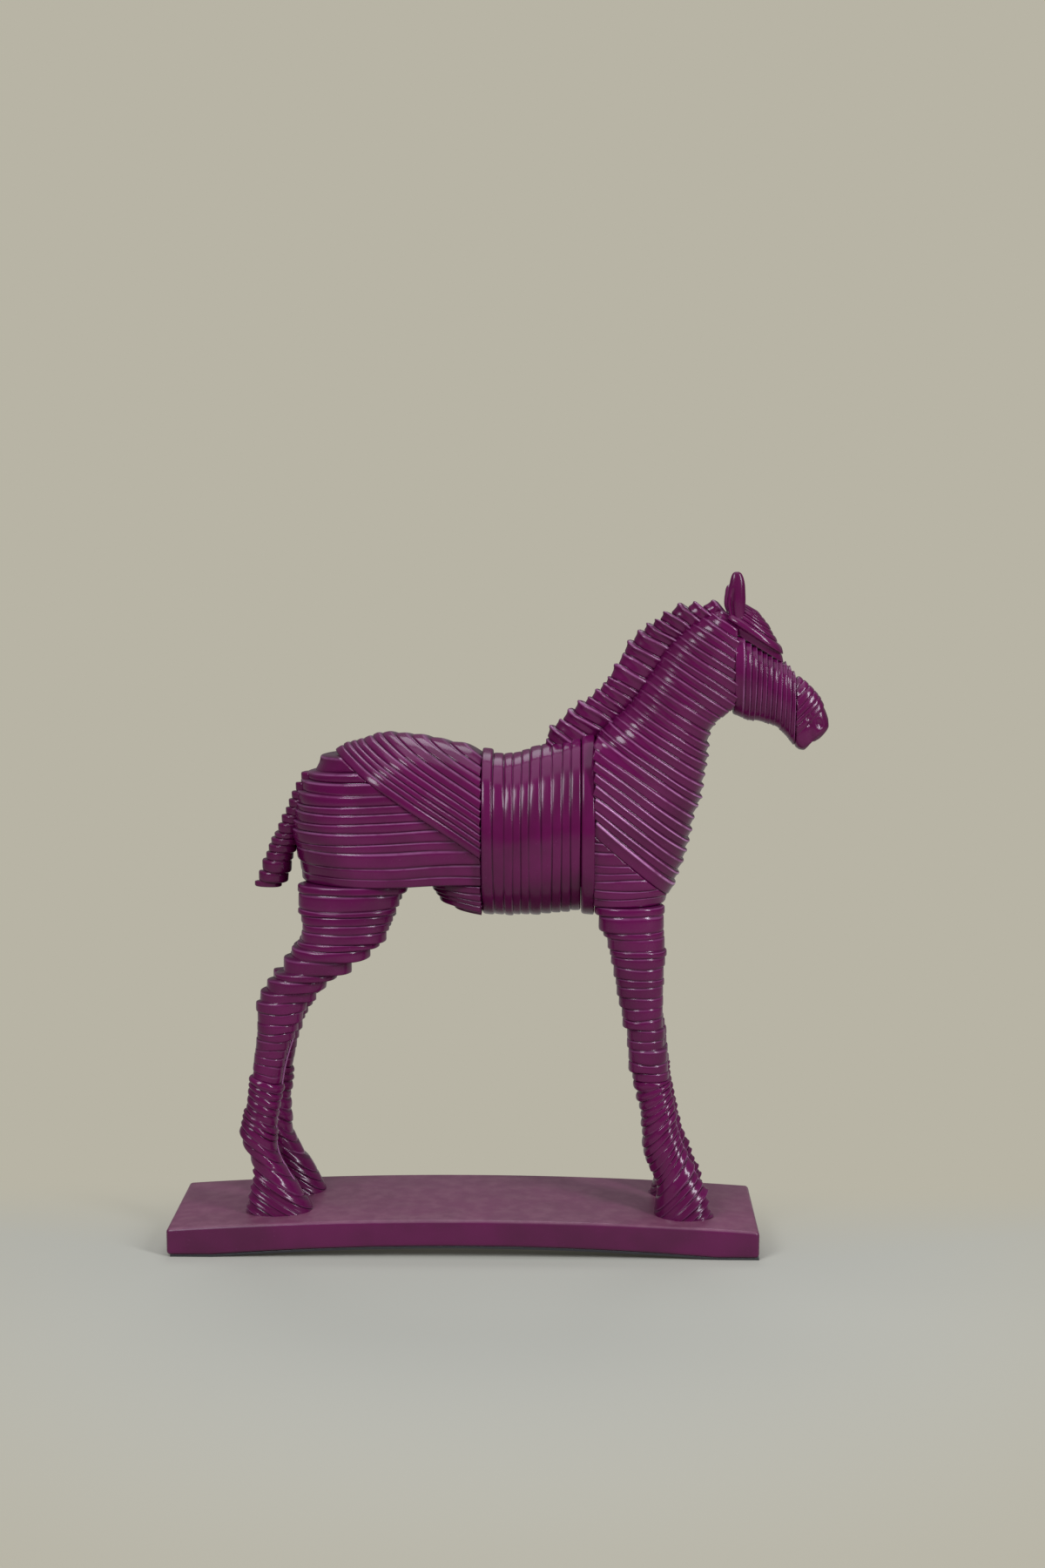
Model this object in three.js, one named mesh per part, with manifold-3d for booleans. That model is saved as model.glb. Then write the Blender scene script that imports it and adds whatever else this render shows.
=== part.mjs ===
// A foal wound from flat strips of cord, standing on a bowed slab. Millimetres, +Z up, the foal faces +X.
// The side view lies in the XZ plane. X is counted from below the foal's loins, and Z from the highest point of
// the slab's top. The finished group is then moved so that its origin is the middle of its
// footprint, on the surface that it stands on.

import * as THREE from 'three';
import { mergeVertices } from 'three/addons/utils/BufferGeometryUtils.js';
import Module from 'manifold-3d';

// The foal's main sizes. Its stations, below, are drawn at these sizes.
const legHeight = 192.5;    // slab to the lowest strip of the haunch
const pollHeight = 345;     // slab to the seat of the ears
const figureLength = 332;   // tip of the tail to the lips
const figureWidth = 74;     // across the haunches
const earLength = 25.6;

// Slab, and the liner glued under it
const slabLength = 342;
const slabDepth = 90;
const slabThickness = 15.5;
const slabAhead = 1;        // how far the slab's middle lies ahead of the place that X is counted from
const slabBow = 6;          // how far the middle of the slab rises above its ends
const footLength = 25;      // flat stretch at each end, which the sculpture rests on
const linerThickness = 1.2;
const linerInset = 1;       // the liner stops short of the slab's edges
const bowSteps = 14;

// Fits
const seam = 0.3;           // glue line between neighbouring pieces
const bandDepth = 1.1;      // how far a strip's crown stands out of the groove beside it
const ropeDepth = 1.6;      // the same on the croup, which is wound with rounder strips
const lipDepth = 1.3;       // the same on the neck and mane, whose strips have a raised edge
const footDepth = 1.9;      // the same at the feet
const coreClearance = 0.3;

// Armature: a bent rod in each leg, held under the slab by a nut
const rodDiameter = 4;
const rodClearance = 0.3;
const nutAcrossFlats = 7;
const nutHeight = 3.2;
const nutPocketDiameter = 11;
const nutPocketDepth = 5.5;
const rodReach = 30;        // how far a rod goes up into the body core

// Where the windings of the body meet, along X
const girthBack = 11;
const strapBack = 68;
const strapFront = 75;
const cheekBack = 155;
const noseSeam = 190.1;

// Half spread of the legs, at the top and at the feet
const hindSpread = 19;
const foreSpread = 20;

// Strips of each winding: how many alike, or their relative widths and how far they stand out of each other
const haunchStrips = 12;
const croupStrips = [1.35, 0.85, 0.8, 0.9, 1.15, 0.95, 1.2, 1.25, 1.2, 1.2, 1.2];
const flankStrips = 5;
const girthStrips = [14, 11, 10, 12, 10, 13, 11, 13, 12, 9];
const girthProud = [1.6, 0.9, 1.7, 0.9, 0.9, 1.6, 1.4, 0.8, 0.9, 0.8];
const breastStrips = 8;
const neckStrips = [
  1.6, 0.93, 1.2, 1.05, 1.05, 1.05, 1.1, 1.25, 0.8, 1.1, 1, 0.93, 0.95, 1,
  1.05, 1.2, 0.9, 1.1, 1, 0.8, 1.2, 0.9, 1, 0.9, 1.1, 0.9, 0.8,
];
const maneStrips = 24;
const tailStrips = 14;
const browStrips = [4.4, 5.4, 1.6, 1.4, 1.4, 1.5, 1.5];
const browProud = [0.15, 1.8, 0.8, 1, 0.9, 1, 0.9];
const cheekStrips = [1.5, 1.1, 1.1, 1.1, 1.05, 1, 0.9, 0.85, 0.85, 0.8];
const muzzleStrips = [3.4, 4, 4.1, 3.6, 2.5, 3.4, 11];
const muzzleProud = [0.8, 0.9, 0.9, 0.8, 0.7, 0.5, 0.3];
const hindStrips = { upper: 21, lower: 15 };
const foreStrips = { upper: 20, lower: 18 };

// Materials, painted like the photographed piece
const paint = new THREE.MeshStandardMaterial({ color: 0x5e1a4d, roughness: 0.32, metalness: 0 });
const resin = new THREE.MeshStandardMaterial({ color: 0xcfc4b0, roughness: 0.7, metalness: 0 });
const steel = new THREE.MeshStandardMaterial({ color: 0x9a9c9e, roughness: 0.35, metalness: 1 });
const felt = new THREE.MeshStandardMaterial({ color: 0x17161a, roughness: 0.95, metalness: 0 });

const wasm = await Module();
wasm.setup();

// A closed geometry as a solid that can be cut and joined.
function toSolid(geometry) {
  const bare = geometry.clone();
  bare.deleteAttribute('normal');
  bare.deleteAttribute('uv');
  const merged = mergeVertices(bare, 1e-4);
  return new wasm.Manifold(new wasm.Mesh({
    numProp: 3,
    vertProperties: new Float32Array(merged.attributes.position.array),
    triVerts: new Uint32Array(merged.index.array),
  }));
}

function toMesh(name, solid, material) {
  const cut = solid.getMesh();
  const positions = new Float32Array(cut.numVert * 3);
  for (let i = 0; i < cut.numVert; i++) {
    positions.set(cut.vertProperties.subarray(i * cut.numProp, i * cut.numProp + 3), i * 3);
  }
  const geometry = new THREE.BufferGeometry();
  geometry.setAttribute('position', new THREE.BufferAttribute(positions, 3));
  geometry.setIndex(new THREE.BufferAttribute(new Uint32Array(cut.triVerts), 1));
  geometry.computeVertexNormals();
  const mesh = new THREE.Mesh(geometry, material);
  mesh.name = name;
  return mesh;
}

// Windings. A winding is a stack of strips, each laid round the form in a plane that crosses the side view along
// a chord. A station is one such chord: its back (or lower) point, its front (or upper) point, the half widths of
// the form at seven places from the first point to the second, and the side step of its middle.
const placesOnChord = 7;

// The stations' numbers are those of the foal as drawn. These take them to the main sizes.
const drawn = { legs: 192.5, poll: 345, length: 332, width: 74 };
const lengthwise = (x) => x * (figureLength / drawn.length);
const crosswise = (y) => y * (figureWidth / drawn.width);
function upright(z) {
  if (z < drawn.legs) return z * (legHeight / drawn.legs);
  return legHeight + (z - drawn.legs) * ((pollHeight - legHeight) / (drawn.poll - drawn.legs));
}

function station(backX, backZ, frontX, frontZ, halves, side = 0) {
  const ends = [lengthwise(backX), upright(backZ), lengthwise(frontX), upright(frontZ)];
  return [...ends, crosswise(side), ...halves.map(crosswise)];
}

// Half widths of a plain oval section. A fuller section is nearer to a box.
function oval(half, fuller = 0.92) {
  return Array.from({ length: placesOnChord }, (_, i) => {
    const turn = Math.sin((Math.PI * i) / (placesOnChord - 1));
    return turn < 1e-6 ? 0 : half * Math.pow(turn, fuller);
  });
}

// Smooth value at place t, from 0 to 1, through a list of rows of numbers.
function smooth(rows, t) {
  const last = rows.length - 1;
  const at = THREE.MathUtils.clamp(t, 0, 1) * last;
  const i = Math.min(Math.floor(at), last - 1);
  const s = at - i;
  const before = rows[Math.max(i - 1, 0)];
  const after = rows[Math.min(i + 2, last)];
  return rows[i].map((a, k) => {
    const b = rows[i + 1][k];
    const slopeA = (b - before[k]) / 2;
    const slopeB = (after[k] - a) / 2;
    const c = 3 * (b - a) - 2 * slopeA - slopeB;
    const d = 2 * (a - b) + slopeA + slopeB;
    return a + s * (slopeA + s * (c + s * d));
  });
}

// One closed ring of points, grown outwards by the given amount.
function ring(rows, t, sides, grow) {
  const [backX, backZ, frontX, frontZ, side, ...halves] = smooth(rows, t);
  const length = Math.hypot(frontX - backX, frontZ - backZ);
  const flat = [];
  const half = sides / 2;
  const blunt = 0.8;
  for (let i = 0; i <= half; i++) {
    const turn = (Math.PI * i) / half;
    const wide = Math.max(smooth(halves.map((h) => [h]), i / half)[0], 0);
    flat.push([(length * (1 - Math.cos(turn))) / 2, wide]);
  }
  const startBlunt = halves[0] > blunt;
  const endBlunt = halves[placesOnChord - 1] > blunt;
  if (!startBlunt) flat[0][1] = 0;
  if (!endBlunt) flat[half][1] = 0;
  const outline = flat.concat(flat.slice().reverse().map(([s, w]) => [s, -w]))
    .filter(([s, w], i, all) => {
      const before = all[(i + all.length - 1) % all.length];
      return Math.hypot(s - before[0], w - before[1]) > 1e-6;
    });
  const middle = length / 2;
  const points = outline.map(([s, w], i) => {
    const before = outline[(i + outline.length - 1) % outline.length];
    const after = outline[(i + 1) % outline.length];
    let normalS = w - 0 === 0 ? Math.sign(s - middle) : before[1] - after[1];
    let normalW = w - 0 === 0 ? 0 : after[0] - before[0];
    const size = Math.hypot(normalS, normalW);
    normalS /= size;
    normalW /= size;
    if (w !== 0 && Math.sign(normalW) !== Math.sign(w)) {
      normalW = -normalW;
      normalS = -normalS;
    }
    let along = s + grow * normalS;
    if (startBlunt) along = Math.max(along, 0);
    if (endBlunt) along = Math.min(along, length);
    return [along, w + grow * normalW];
  });
  // Every ring of a winding has the same number of points, so a pointed end is counted twice.
  if (!endBlunt) points.splice(half + 1, 0, points[half]);
  if (!startBlunt) points.push(points[0]);
  const dirX = (frontX - backX) / length;
  const dirZ = (frontZ - backZ) / length;
  return points.map(([s, w]) => new THREE.Vector3(backX + s * dirX, side - w, backZ + s * dirZ));
}

// Joins a list of rings into one closed solid.
function loft(rings) {
  const around = rings[0].length;
  const corners = [];
  const face = (a, b, c) => corners.push(a, b, c);
  for (let r = 0; r + 1 < rings.length; r++) {
    for (let i = 0; i < around; i++) {
      const j = (i + 1) % around;
      face(rings[r][i], rings[r][j], rings[r + 1][j]);
      face(rings[r][i], rings[r + 1][j], rings[r + 1][i]);
    }
  }
  for (const [end, turned] of [[rings[0], true], [rings[rings.length - 1], false]]) {
    for (let i = 1; i + 1 <= around / 2; i++) {
      const quad = [end[i - 1], end[i], end[around - 1 - i], end[around - i]];
      const [a, b, c, d] = turned ? [quad[3], quad[2], quad[1], quad[0]] : quad;
      face(a, b, c);
      face(a, c, d);
    }
  }
  const whole = corners.filter((_, i) => {
    const k = i - (i % 3);
    const [a, b, c] = [corners[k], corners[k + 1], corners[k + 2]];
    return a.distanceTo(b) > 1e-4 && b.distanceTo(c) > 1e-4 && c.distanceTo(a) > 1e-4;
  });
  const geometry = new THREE.BufferGeometry().setFromPoints(whole);
  const solid = toSolid(mergeVertices(geometry, 1e-4));
  if (solid.volume() > 0) return solid;
  const reversed = [];
  for (let k = 0; k < whole.length; k += 3) reversed.push(whole[k], whole[k + 2], whole[k + 1]);
  return toSolid(mergeVertices(new THREE.BufferGeometry().setFromPoints(reversed), 1e-4));
}

// The width of a form across its strips, and the place, from 0 to 1, that lies so far across it.
function pace(rows) {
  const steps = 120;
  const chords = Array.from({ length: steps + 1 }, (_, i) => {
    const [backX, backZ, frontX, frontZ] = smooth(rows, i / steps);
    const middle = new THREE.Vector2((backX + frontX) / 2, (backZ + frontZ) / 2);
    const along = new THREE.Vector2(frontX - backX, frontZ - backZ).normalize();
    return { middle, along };
  });
  const runs = [0];
  for (let i = 1; i <= steps; i++) {
    const step = chords[i].middle.clone().sub(chords[i - 1].middle);
    runs.push(runs[i - 1] + Math.abs(chords[i].along.cross(step)));
  }
  const placeAt = (distance) => {
    const i = THREE.MathUtils.clamp(runs.findIndex((run) => run > distance), 1, steps);
    return (i - 1 + (distance - runs[i - 1]) / (runs[i] - runs[i - 1])) / steps;
  };
  return { across: runs[steps], placeAt };
}

// Where a strip stands out of the grooves beside it, in shares of its width: a rope at its middle, a band over most
// of its width, and a lipped strip at its last edge only.
const ropeCrown = [0.45];
const bandCrown = [0.18, 0.8];
const lipCrown = [0.86];

// A winding of strips, so many alike or of the relative widths that are listed. Their depth may change from the
// first strip to the last, and proud lists how much further each one stands out.
function winding(rows, strips, sides, options = {}) {
  const { startGap = 0, depth = bandDepth, endDepth = depth, crown = ropeCrown, proud = [] } = options;
  const widths = Array.isArray(strips) ? strips : Array(strips).fill(1);
  const total = widths.reduce((sum, width) => sum + width);
  const { across, placeAt } = pace(rows);
  const levels = [[0, 0]];
  let edge = 0;
  widths.forEach((width, k) => {
    const middle = (edge + width / 2) / total;
    const out = (depth + (endDepth - depth) * middle) * (proud[k] ?? 1);
    for (const share of crown) levels.push([(edge + share * width) / total, out]);
    edge += width;
    levels.push([edge / total, 0]);
  });
  return loft(levels.map(([share, out]) =>
    ring(rows, placeAt(startGap + share * (across - startGap)), sides, out)));
}

// A plain form without strips, for cores and clearances.
function plain(rows, steps, sides, grow = 0) {
  return loft(Array.from({ length: steps + 1 }, (_, i) => ring(rows, i / steps, sides, grow)));
}

// Everything on the upper side of a sloping chord, as a big block to cut with.
function above(fromX, fromZ, toX, toZ, gap) {
  const size = 400;
  const angle = Math.atan2(toZ - fromZ, toX - fromX);
  const block = new THREE.BoxGeometry(size, size, size);
  block.translate(0, 0, size / 2 - gap);
  block.rotateY(-angle);
  block.translate((fromX + toX) / 2, 0, (fromZ + toZ) / 2);
  return toSolid(block);
}

// Everything behind a place along X, or ahead of it.
function behind(x, ahead = false) {
  const size = 400;
  const block = new THREE.BoxGeometry(size, size, 2 * size);
  block.translate(ahead ? x + size / 2 : x - size / 2, 0, 0);
  return toSolid(block);
}

// Body, in chords that lie as the strips do. All points are side view sizes.
const tuck = girthBack - seam;
const haunch = [
  station(-93.5, 192.5, tuck, 192.5, [0, 18.5, 32, 34.8, 28, 26, 27]),
  station(-93.9, 198, tuck, 198, [0, 19, 33, 35.8, 28.5, 27.5, 28.6]),
  station(-95.4, 204, tuck, 204, [0, 19.5, 34, 36.5, 29.5, 29.5, 30.5]),
  station(-97.5, 212, tuck, 212, [0, 20, 34.5, 37, 30.5, 31, 32]),
  station(-98.5, 222, tuck, 222, [0, 20, 34.5, 37, 31.5, 31.8, 32.8]),
  station(-97, 234, tuck, 234, [0, 19.5, 34, 36.5, 32, 32, 32.6]),
  station(-94.5, 244, tuck, 244, [0, 18.5, 32.5, 35, 31.5, 31, 31]),
  station(-90.5, 252, tuck, 252, [0, 17, 30.5, 33, 30, 28.5, 28.3]),
  station(-84.8, 258.7, tuck, 258.7, [0, 14.5, 27, 29.5, 27, 25.5, 25]),
  station(-75.5, 265, tuck, 265, [0, 11, 20, 22, 19, 15, 12]),
];
const croup = [
  station(-74, 267, tuck, 208.5, [0, 15, 33.5, 36.5, 33.5, 32.8, 32.8]),
  station(-65.5, 270.7, tuck, 218.5, [0, 15, 32, 35.5, 33, 32.8, 33]),
  station(-55, 274, tuck, 229.5, [0, 14, 28.5, 33, 32.5, 32.5, 33]),
  station(-45, 277, tuck, 238, [0, 12.5, 25.5, 30.5, 31, 31.5, 32]),
  station(-34, 276.4, tuck, 246, [0, 11, 22, 27, 28.5, 29.5, 30]),
  station(-21, 274.8, tuck, 253.5, [0, 9, 17.5, 22.5, 24.5, 25.5, 26]),
  station(-8, 272, tuck, 260, [0, 6.5, 12.5, 16.5, 18, 18.8, 19]),
  station(4, 269.8, tuck, 265, [0, 3, 5.5, 7.5, 8.5, 9, 9]),
];
const flank = [
  station(4, 173.3, tuck, 173.3, [0, 1.5, 3, 4, 4.5, 5, 5]),
  station(-4.5, 176, tuck, 176, [0, 5, 9, 11.5, 13, 13.5, 14]),
  station(-12.5, 180.7, tuck, 180.7, [0, 8, 14, 17.5, 19.5, 20.5, 21]),
  station(-16.5, 186, tuck, 186, [0, 9, 16, 20, 22.5, 23.5, 24]),
  station(-19.5, 192.5 - seam, tuck, 192.5 - seam, [0, 10, 18, 22.5, 25, 26, 27]),
];
const girth = [
  station(girthBack, 172.7, girthBack, 268.3, [0, 17, 30.5, 34.5, 31, 20, 0]),
  station(24, 171.8, 24, 264, [0, 17, 31, 35, 31, 20, 0]),
  station(40, 172, 40, 268, [0, 17, 31, 35, 31, 19.5, 0]),
  station(55, 173, 55, 272.3, [0, 17, 31, 35, 30.5, 19, 0]),
  station(strapBack - seam, 174.8, strapBack - seam, 276, [0, 17, 30.5, 34, 29, 17, 0]),
];
const strap = [
  station(strapBack, 173, strapBack, 276.6, [0, 17.5, 31.5, 35, 30, 17.5, 0]),
  station(strapFront, 172.3, strapFront, 277.8, [0, 17.5, 31, 34.5, 29, 16.5, 0]),
];
const chestBack = strapFront + seam;
const breast = [
  station(chestBack, 180, 115.3, 180, [20, 23, 26.5, 27, 23, 13.5, 0]),
  station(chestBack, 189, 120.5, 189, [27, 28, 29, 28, 23.5, 14, 0]),
  station(chestBack, 200, 125, 200, [30, 30, 30, 28.5, 24, 14, 0]),
  station(chestBack, 212, 128.5, 212, [31.5, 31.5, 30.5, 28.5, 24, 14, 0]),
  station(chestBack, 224, 131, 224, [31.5, 31.5, 30.5, 28, 23, 14, 0]),
];
const neckEnd = cheekBack - seam;
const neck = [
  station(chestBack, 222, 119, 183, [32, 32, 31.5, 29, 24, 14, 0]),
  station(chestBack, 240, 125, 200.5, [33, 33, 32, 29.5, 24.5, 14.5, 0]),
  station(chestBack, 256.5, 129.5, 214.5, [32, 32, 31, 28.5, 23.5, 14, 0]),
  station(chestBack, 271.5, 132.7, 230, [26, 27.5, 28, 26.5, 22, 13.5, 0]),
  station(80, 281.5, 136.5, 242, [2, 17, 24, 24.8, 21, 13, 0]),
  station(93, 292, 139.5, 262, [0, 12, 19.5, 22, 20, 12.5, 0]),
  station(103.5, 306.5, 144, 280, [0, 10.5, 17.5, 20, 18.5, 12, 0]),
  station(113, 321, neckEnd, 293.5, [0, 9.5, 15.5, 17.5, 17, 15, 11]),
  station(121, 331.5, neckEnd, 310, [0, 9, 14.5, 16.5, 16, 15, 14.3]),
  station(130, 339, neckEnd, 323.5, [0, 8, 13, 15, 15, 14.5, 14]),
  station(140, 346, neckEnd, 336.5, [0, 6, 10, 12, 12.5, 12.5, 12]),
  station(146.5, 349.5, 151, 347, [0, 2, 3.5, 4.5, 4.5, 3.5, 0]),
];
const mane = [
  station(47, 268, 67, 256, oval(6.5)),
  station(53, 281, 76, 266, oval(7)),
  station(63, 289.8, 85, 277, oval(7)),
  station(76.5, 300.3, 95, 289, oval(7)),
  station(86.3, 311, 105, 300, oval(6.8)),
  station(92.3, 322.5, 113, 312, oval(6.5)),
  station(99.8, 332.8, 119, 322.5, oval(6.2)),
  station(110.5, 341, 127, 331, oval(5.8)),
  station(124, 349.3, 136, 339, oval(5.4)),
  station(136, 351.2, 144, 343, oval(5)),
  station(147, 351.6, 150, 347.5, oval(3.5)),
];
const tail = [
  station(-121.5, 187.6, -109, 186.9, oval(3.5)),
  station(-121, 190.5, -105.5, 190, oval(5.8)),
  station(-117.3, 195, -103, 194.5, oval(7)),
  station(-115.7, 202, -101.3, 201.8, oval(7.8)),
  station(-111.6, 212, -98.3, 211.8, oval(8)),
  station(-107.3, 221, -96.5, 221, oval(7.3)),
  station(-103.5, 230, -93.5, 230, oval(6.4)),
  station(-99.3, 239, -90, 239, oval(5.6)),
  station(-96, 247, -86, 247, oval(5)),
  station(-90.5, 254.5, -82, 254.5, oval(4.2)),
];

// Head, in the order in which it is wound from the cheek to the lips. The brow's lowest plane slopes to the nose.
const browBackX = 150.5;
const browBackZ = 338.5;
const browSlope = -0.615;
const browZ = (x) => browBackZ + (x - browBackX) * browSlope;
const brow = [
  station(browBackX, browBackZ, 184, browZ(184), [8, 11, 14, 14.8, 13, 8.8, 0]),
  station(151, 344.5, 181.6, 324.4, [6, 10, 12.8, 13.3, 11.8, 7.8, 0]),
  station(153, 348.7, 179, 331.3, [0, 7, 10.8, 11.8, 10.3, 6.8, 0]),
  station(157, 351.3, 173.6, 341, [0, 4.5, 7.5, 8.5, 7.5, 4.8, 0]),
  station(161, 352, 168, 348, [0, 1.5, 2.5, 3, 2.5, 1.5, 0]),
];
const underBrow = (x) => browZ(x) - seam * 1.3;
const cheek = [
  station(cheekBack, 287.8, cheekBack, underBrow(cheekBack), [0, 8, 14, 16, 15.5, 13, 11.5]),
  station(163, 286.2, 163.5, underBrow(163.5), [0, 7.5, 13.5, 15.5, 15, 11.5, 7.5]),
  station(171, 284, 172, underBrow(172), [0, 7, 12.5, 14.5, 14, 10, 6]),
  station(178, 281.2, 179, underBrow(179), [0, 6.5, 11.5, 13, 12, 8.5, 5]),
  station(184.5, 276.8, 185.3, 316.8, [0, 6.5, 10.5, 12, 11, 7, 0]),
  station(noseSeam, 271.2, noseSeam, 311, [0, 7, 10, 11, 10, 7, 0]),
];

// The muzzle's strips fan out from the top of its seam with the cheek, and lie across the bridge of the nose.
const noseBack = noseSeam + seam;
const muzzle = [
  station(noseBack, 308.6, 192.2, 310.1, [3, 3, 2.8, 2.4, 1.8, 1, 0]),
  station(noseBack, 304, 194.8, 307.9, [7.2, 6.9, 6.4, 5.7, 4.7, 3.2, 0]),
  station(noseBack, 298.5, 197.6, 305.4, [9.8, 9.4, 8.8, 8, 6.8, 4.8, 0]),
  station(noseBack, 292.5, 200.8, 302.4, [10.8, 10.4, 10, 9.2, 7.9, 5.7, 0]),
  station(noseBack, 287, 203.4, 299.5, [10.6, 10.5, 10.2, 9.5, 8.2, 6, 0]),
  station(noseBack, 281.5, 205.5, 296.4, [9.2, 9.9, 10, 9.5, 8.2, 6, 0]),
  station(noseBack, 276.5, 207.3, 292.8, [6.5, 8.8, 9.6, 9.4, 8.2, 6, 0]),
  station(noseBack + 0.2, 271.2, 208.6, 289.3, [1, 7.3, 9, 9.2, 8.2, 6, 0]),
  station(193.2, 268.6, 209.2, 286.8, [0, 6, 8, 8.6, 7.8, 5.6, 0]),
  station(196.6, 268.4, 209.4, 285.2, [0, 5, 7.4, 8.2, 7.4, 5.2, 0]),
  station(199.2, 271.8, 209.3, 283.6, [0, 4.2, 6.4, 7.2, 6.6, 4.4, 0]),
  station(202, 273.9, 209, 282, [0, 3.4, 5, 5.6, 5, 3.4, 0]),
  station(205.2, 276.6, 208.1, 280, [0, 2, 3, 3.4, 3, 2, 0]),
];

// Legs of one side. Each number in the last place is the share of the step that the left leg takes there.
function hindUpper(side, step) {
  const rows = [
    [-93.2, 192.5 - seam, -31.3, 192.5 - seam, 16.5, 0.95, 0],
    [-93.3, 186, -35.3, 186, 16.4, 0.95, 0],
    [-93.5, 179, -38.5, 179, 16.3, 0.95, 0],
    [-92.3, 168, -43.5, 168, 16, 0.96, 0.05],
    [-94.6, 158, -48.3, 158, 15.5, 0.97, 0.1],
    [-101.6, 148, -60.8, 148, 14.5, 0.98, 0.2],
    [-107.5, 138.5, -73.2, 138.5, 13, 0.99, 0.3],
    [-116.5, 128.5, -84, 128.5, 11.5, 1, 0.35],
    [-119.2, 119.5, -91.2, 119.5, 11, 1, 0.3],
    [-119.3, 103, -98.7, 103, 9.7, 1, 0.25],
    [-121.3, 90, -103.4, 88.5, 9, 1, 0.4],
    [-122.3, 79, -106, 74, 8.6, 1, 0.4],
  ];
  return rows.map(([bx, bz, fx, fz, half, in1, share]) =>
    station(bx + share * step, bz, fx + share * step, fz, oval(half), side * hindSpread * in1));
}

function hindLower(side, step) {
  const rows = [
    [-122.3, 79, -106, 74, 8.6, 0.4],
    [-124.3, 69.5, -107.8, 62, 8.6, 0.45],
    [-126.8, 58, -110, 47.5, 9.2, 0.8],
    [-130.4, 48.5, -109.8, 33.5, 9.8, 1],
    [-129.4, 39, -105.5, 23, 9.4, 1.15],
    [-125.6, 30.5, -99.5, 12.5, 9.2, 1.25],
    [-123, 22.5, -94.5, 2.5, 9.8, 1.1],
    [-124.3, 14, -90.8, -7, 10.6, 1],
    [-127, 5, -89.3, -15, 11.3, 1],
    [-128, -6, -89, -24, 11.5, 1],
  ];
  return rows.map(([bx, bz, fx, fz, half, share]) =>
    station(bx + share * step, bz, fx + share * step, fz, oval(half), side * hindSpread));
}

function foreUpper(side, step) {
  const rows = [
    [75.8, 180 - seam, 115.2, 180 - seam, 14, 0.8, 0],
    [78.6, 172, 114.6, 172, 13.5, 0.82, 0],
    [82, 163, 115.8, 163, 13, 0.85, 0],
    [85.2, 152.5, 115.8, 152.5, 12.5, 0.88, 0],
    [87.6, 140, 115.3, 140, 11.8, 0.92, 0],
    [89.8, 128, 115, 128, 11.2, 0.95, 0],
    [92.5, 116, 114.3, 116, 10.6, 0.97, 0],
    [95, 104.5, 115.6, 104.5, 10.3, 1, 0],
    [95.8, 93, 117, 93, 10.4, 1, 0],
    [96.9, 86, 118, 86, 10.3, 1, 0.1],
    [99.3, 78, 117.8, 78, 9.3, 1, 0.2],
  ];
  return rows.map(([bx, bz, fx, fz, half, in1, share]) =>
    station(bx + share * step, bz, fx + share * step, fz, oval(half), side * foreSpread * in1));
}

function foreLower(side, step) {
  const rows = [
    [99.3, 78, 117.8, 78, 9.3, 0.2],
    [102.2, 68, 118.8, 74, 8.8, 0.2],
    [104.2, 57, 120.6, 65, 8.8, 0.3],
    [105, 45.5, 122.8, 55.5, 9.2, 0.5],
    [105.4, 35, 126, 46.5, 9.8, 0.7],
    [109, 26, 128.7, 40, 9.6, 1],
    [113, 17.5, 131.5, 34, 9.4, 1],
    [114.5, 7.5, 135.8, 25.5, 10, 1],
    [113, -2, 140, 17.8, 11, 0.8],
    [111.5, -12, 144.6, 8.5, 11.8, 0.7],
    [110, -24, 149, -6, 12, 0.7],
  ];
  return rows.map(([bx, bz, fx, fz, half, share]) =>
    station(bx + share * step, bz, fx + share * step, fz, oval(half), side * foreSpread));
}

const hindStep = 5;         // the left hind foot stands ahead of the right one
const foreStep = -2.5;      // the left fore foot stands behind the right one
const legSides = [
  { name: 'right', side: -1, hind: 0, fore: 0 },
  { name: 'left', side: 1, hind: hindStep, fore: foreStep },
];

// Slab, bowed along its length, with a flat foot at each end
const slabTop = linerThickness + slabThickness + slabBow;
const bowHalf = slabLength / 2 - footLength;
const bowAt = (x) => Math.abs(x) >= slabLength / 2 ? 0 : slabBow * (1 - (2 * x / slabLength) ** 2);
const undersideAt = (x) => Math.abs(x) >= bowHalf ? 0 : slabBow * (1 - (x / bowHalf) ** 2);

// The side outline between two curves, extruded across the slab.
function bowed(lowerAt, upperAt, halfLength, depth) {
  const outline = new THREE.Shape();
  const stepsOf = (steps) => Array.from({ length: steps + 1 }, (_, i) => (2 * i / steps - 1) * halfLength);
  const under = [-halfLength, ...stepsOf(bowSteps).map((x) => x * (bowHalf / halfLength)), halfLength];
  under.forEach((x, i) => (i ? outline.lineTo(x, lowerAt(x)) : outline.moveTo(x, lowerAt(x))));
  [...stepsOf(bowSteps)].reverse().forEach((x) => outline.lineTo(x, upperAt(x)));
  outline.closePath();
  const geometry = new THREE.ExtrudeGeometry(outline, { depth, bevelEnabled: false, curveSegments: 1 });
  geometry.translate(slabAhead, 0, -depth / 2);
  geometry.rotateX(Math.PI / 2);
  return toSolid(geometry);
}

const slabBottomZ = -(slabThickness + slabBow);
const slabRaw = bowed(
  (x) => slabBottomZ + undersideAt(x),
  (x) => bowAt(x) - slabBow,
  slabLength / 2,
  slabDepth,
);
const slabClear = bowed((x) => slabBottomZ - 40, (x) => bowAt(x) - slabBow + seam, slabLength / 2, slabDepth);
const liner = bowed(
  (x) => slabBottomZ - linerThickness + undersideAt(x),
  (x) => slabBottomZ + undersideAt(x) - 0.05,
  slabLength / 2 - linerInset,
  slabDepth - 2 * linerInset,
);

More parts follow.
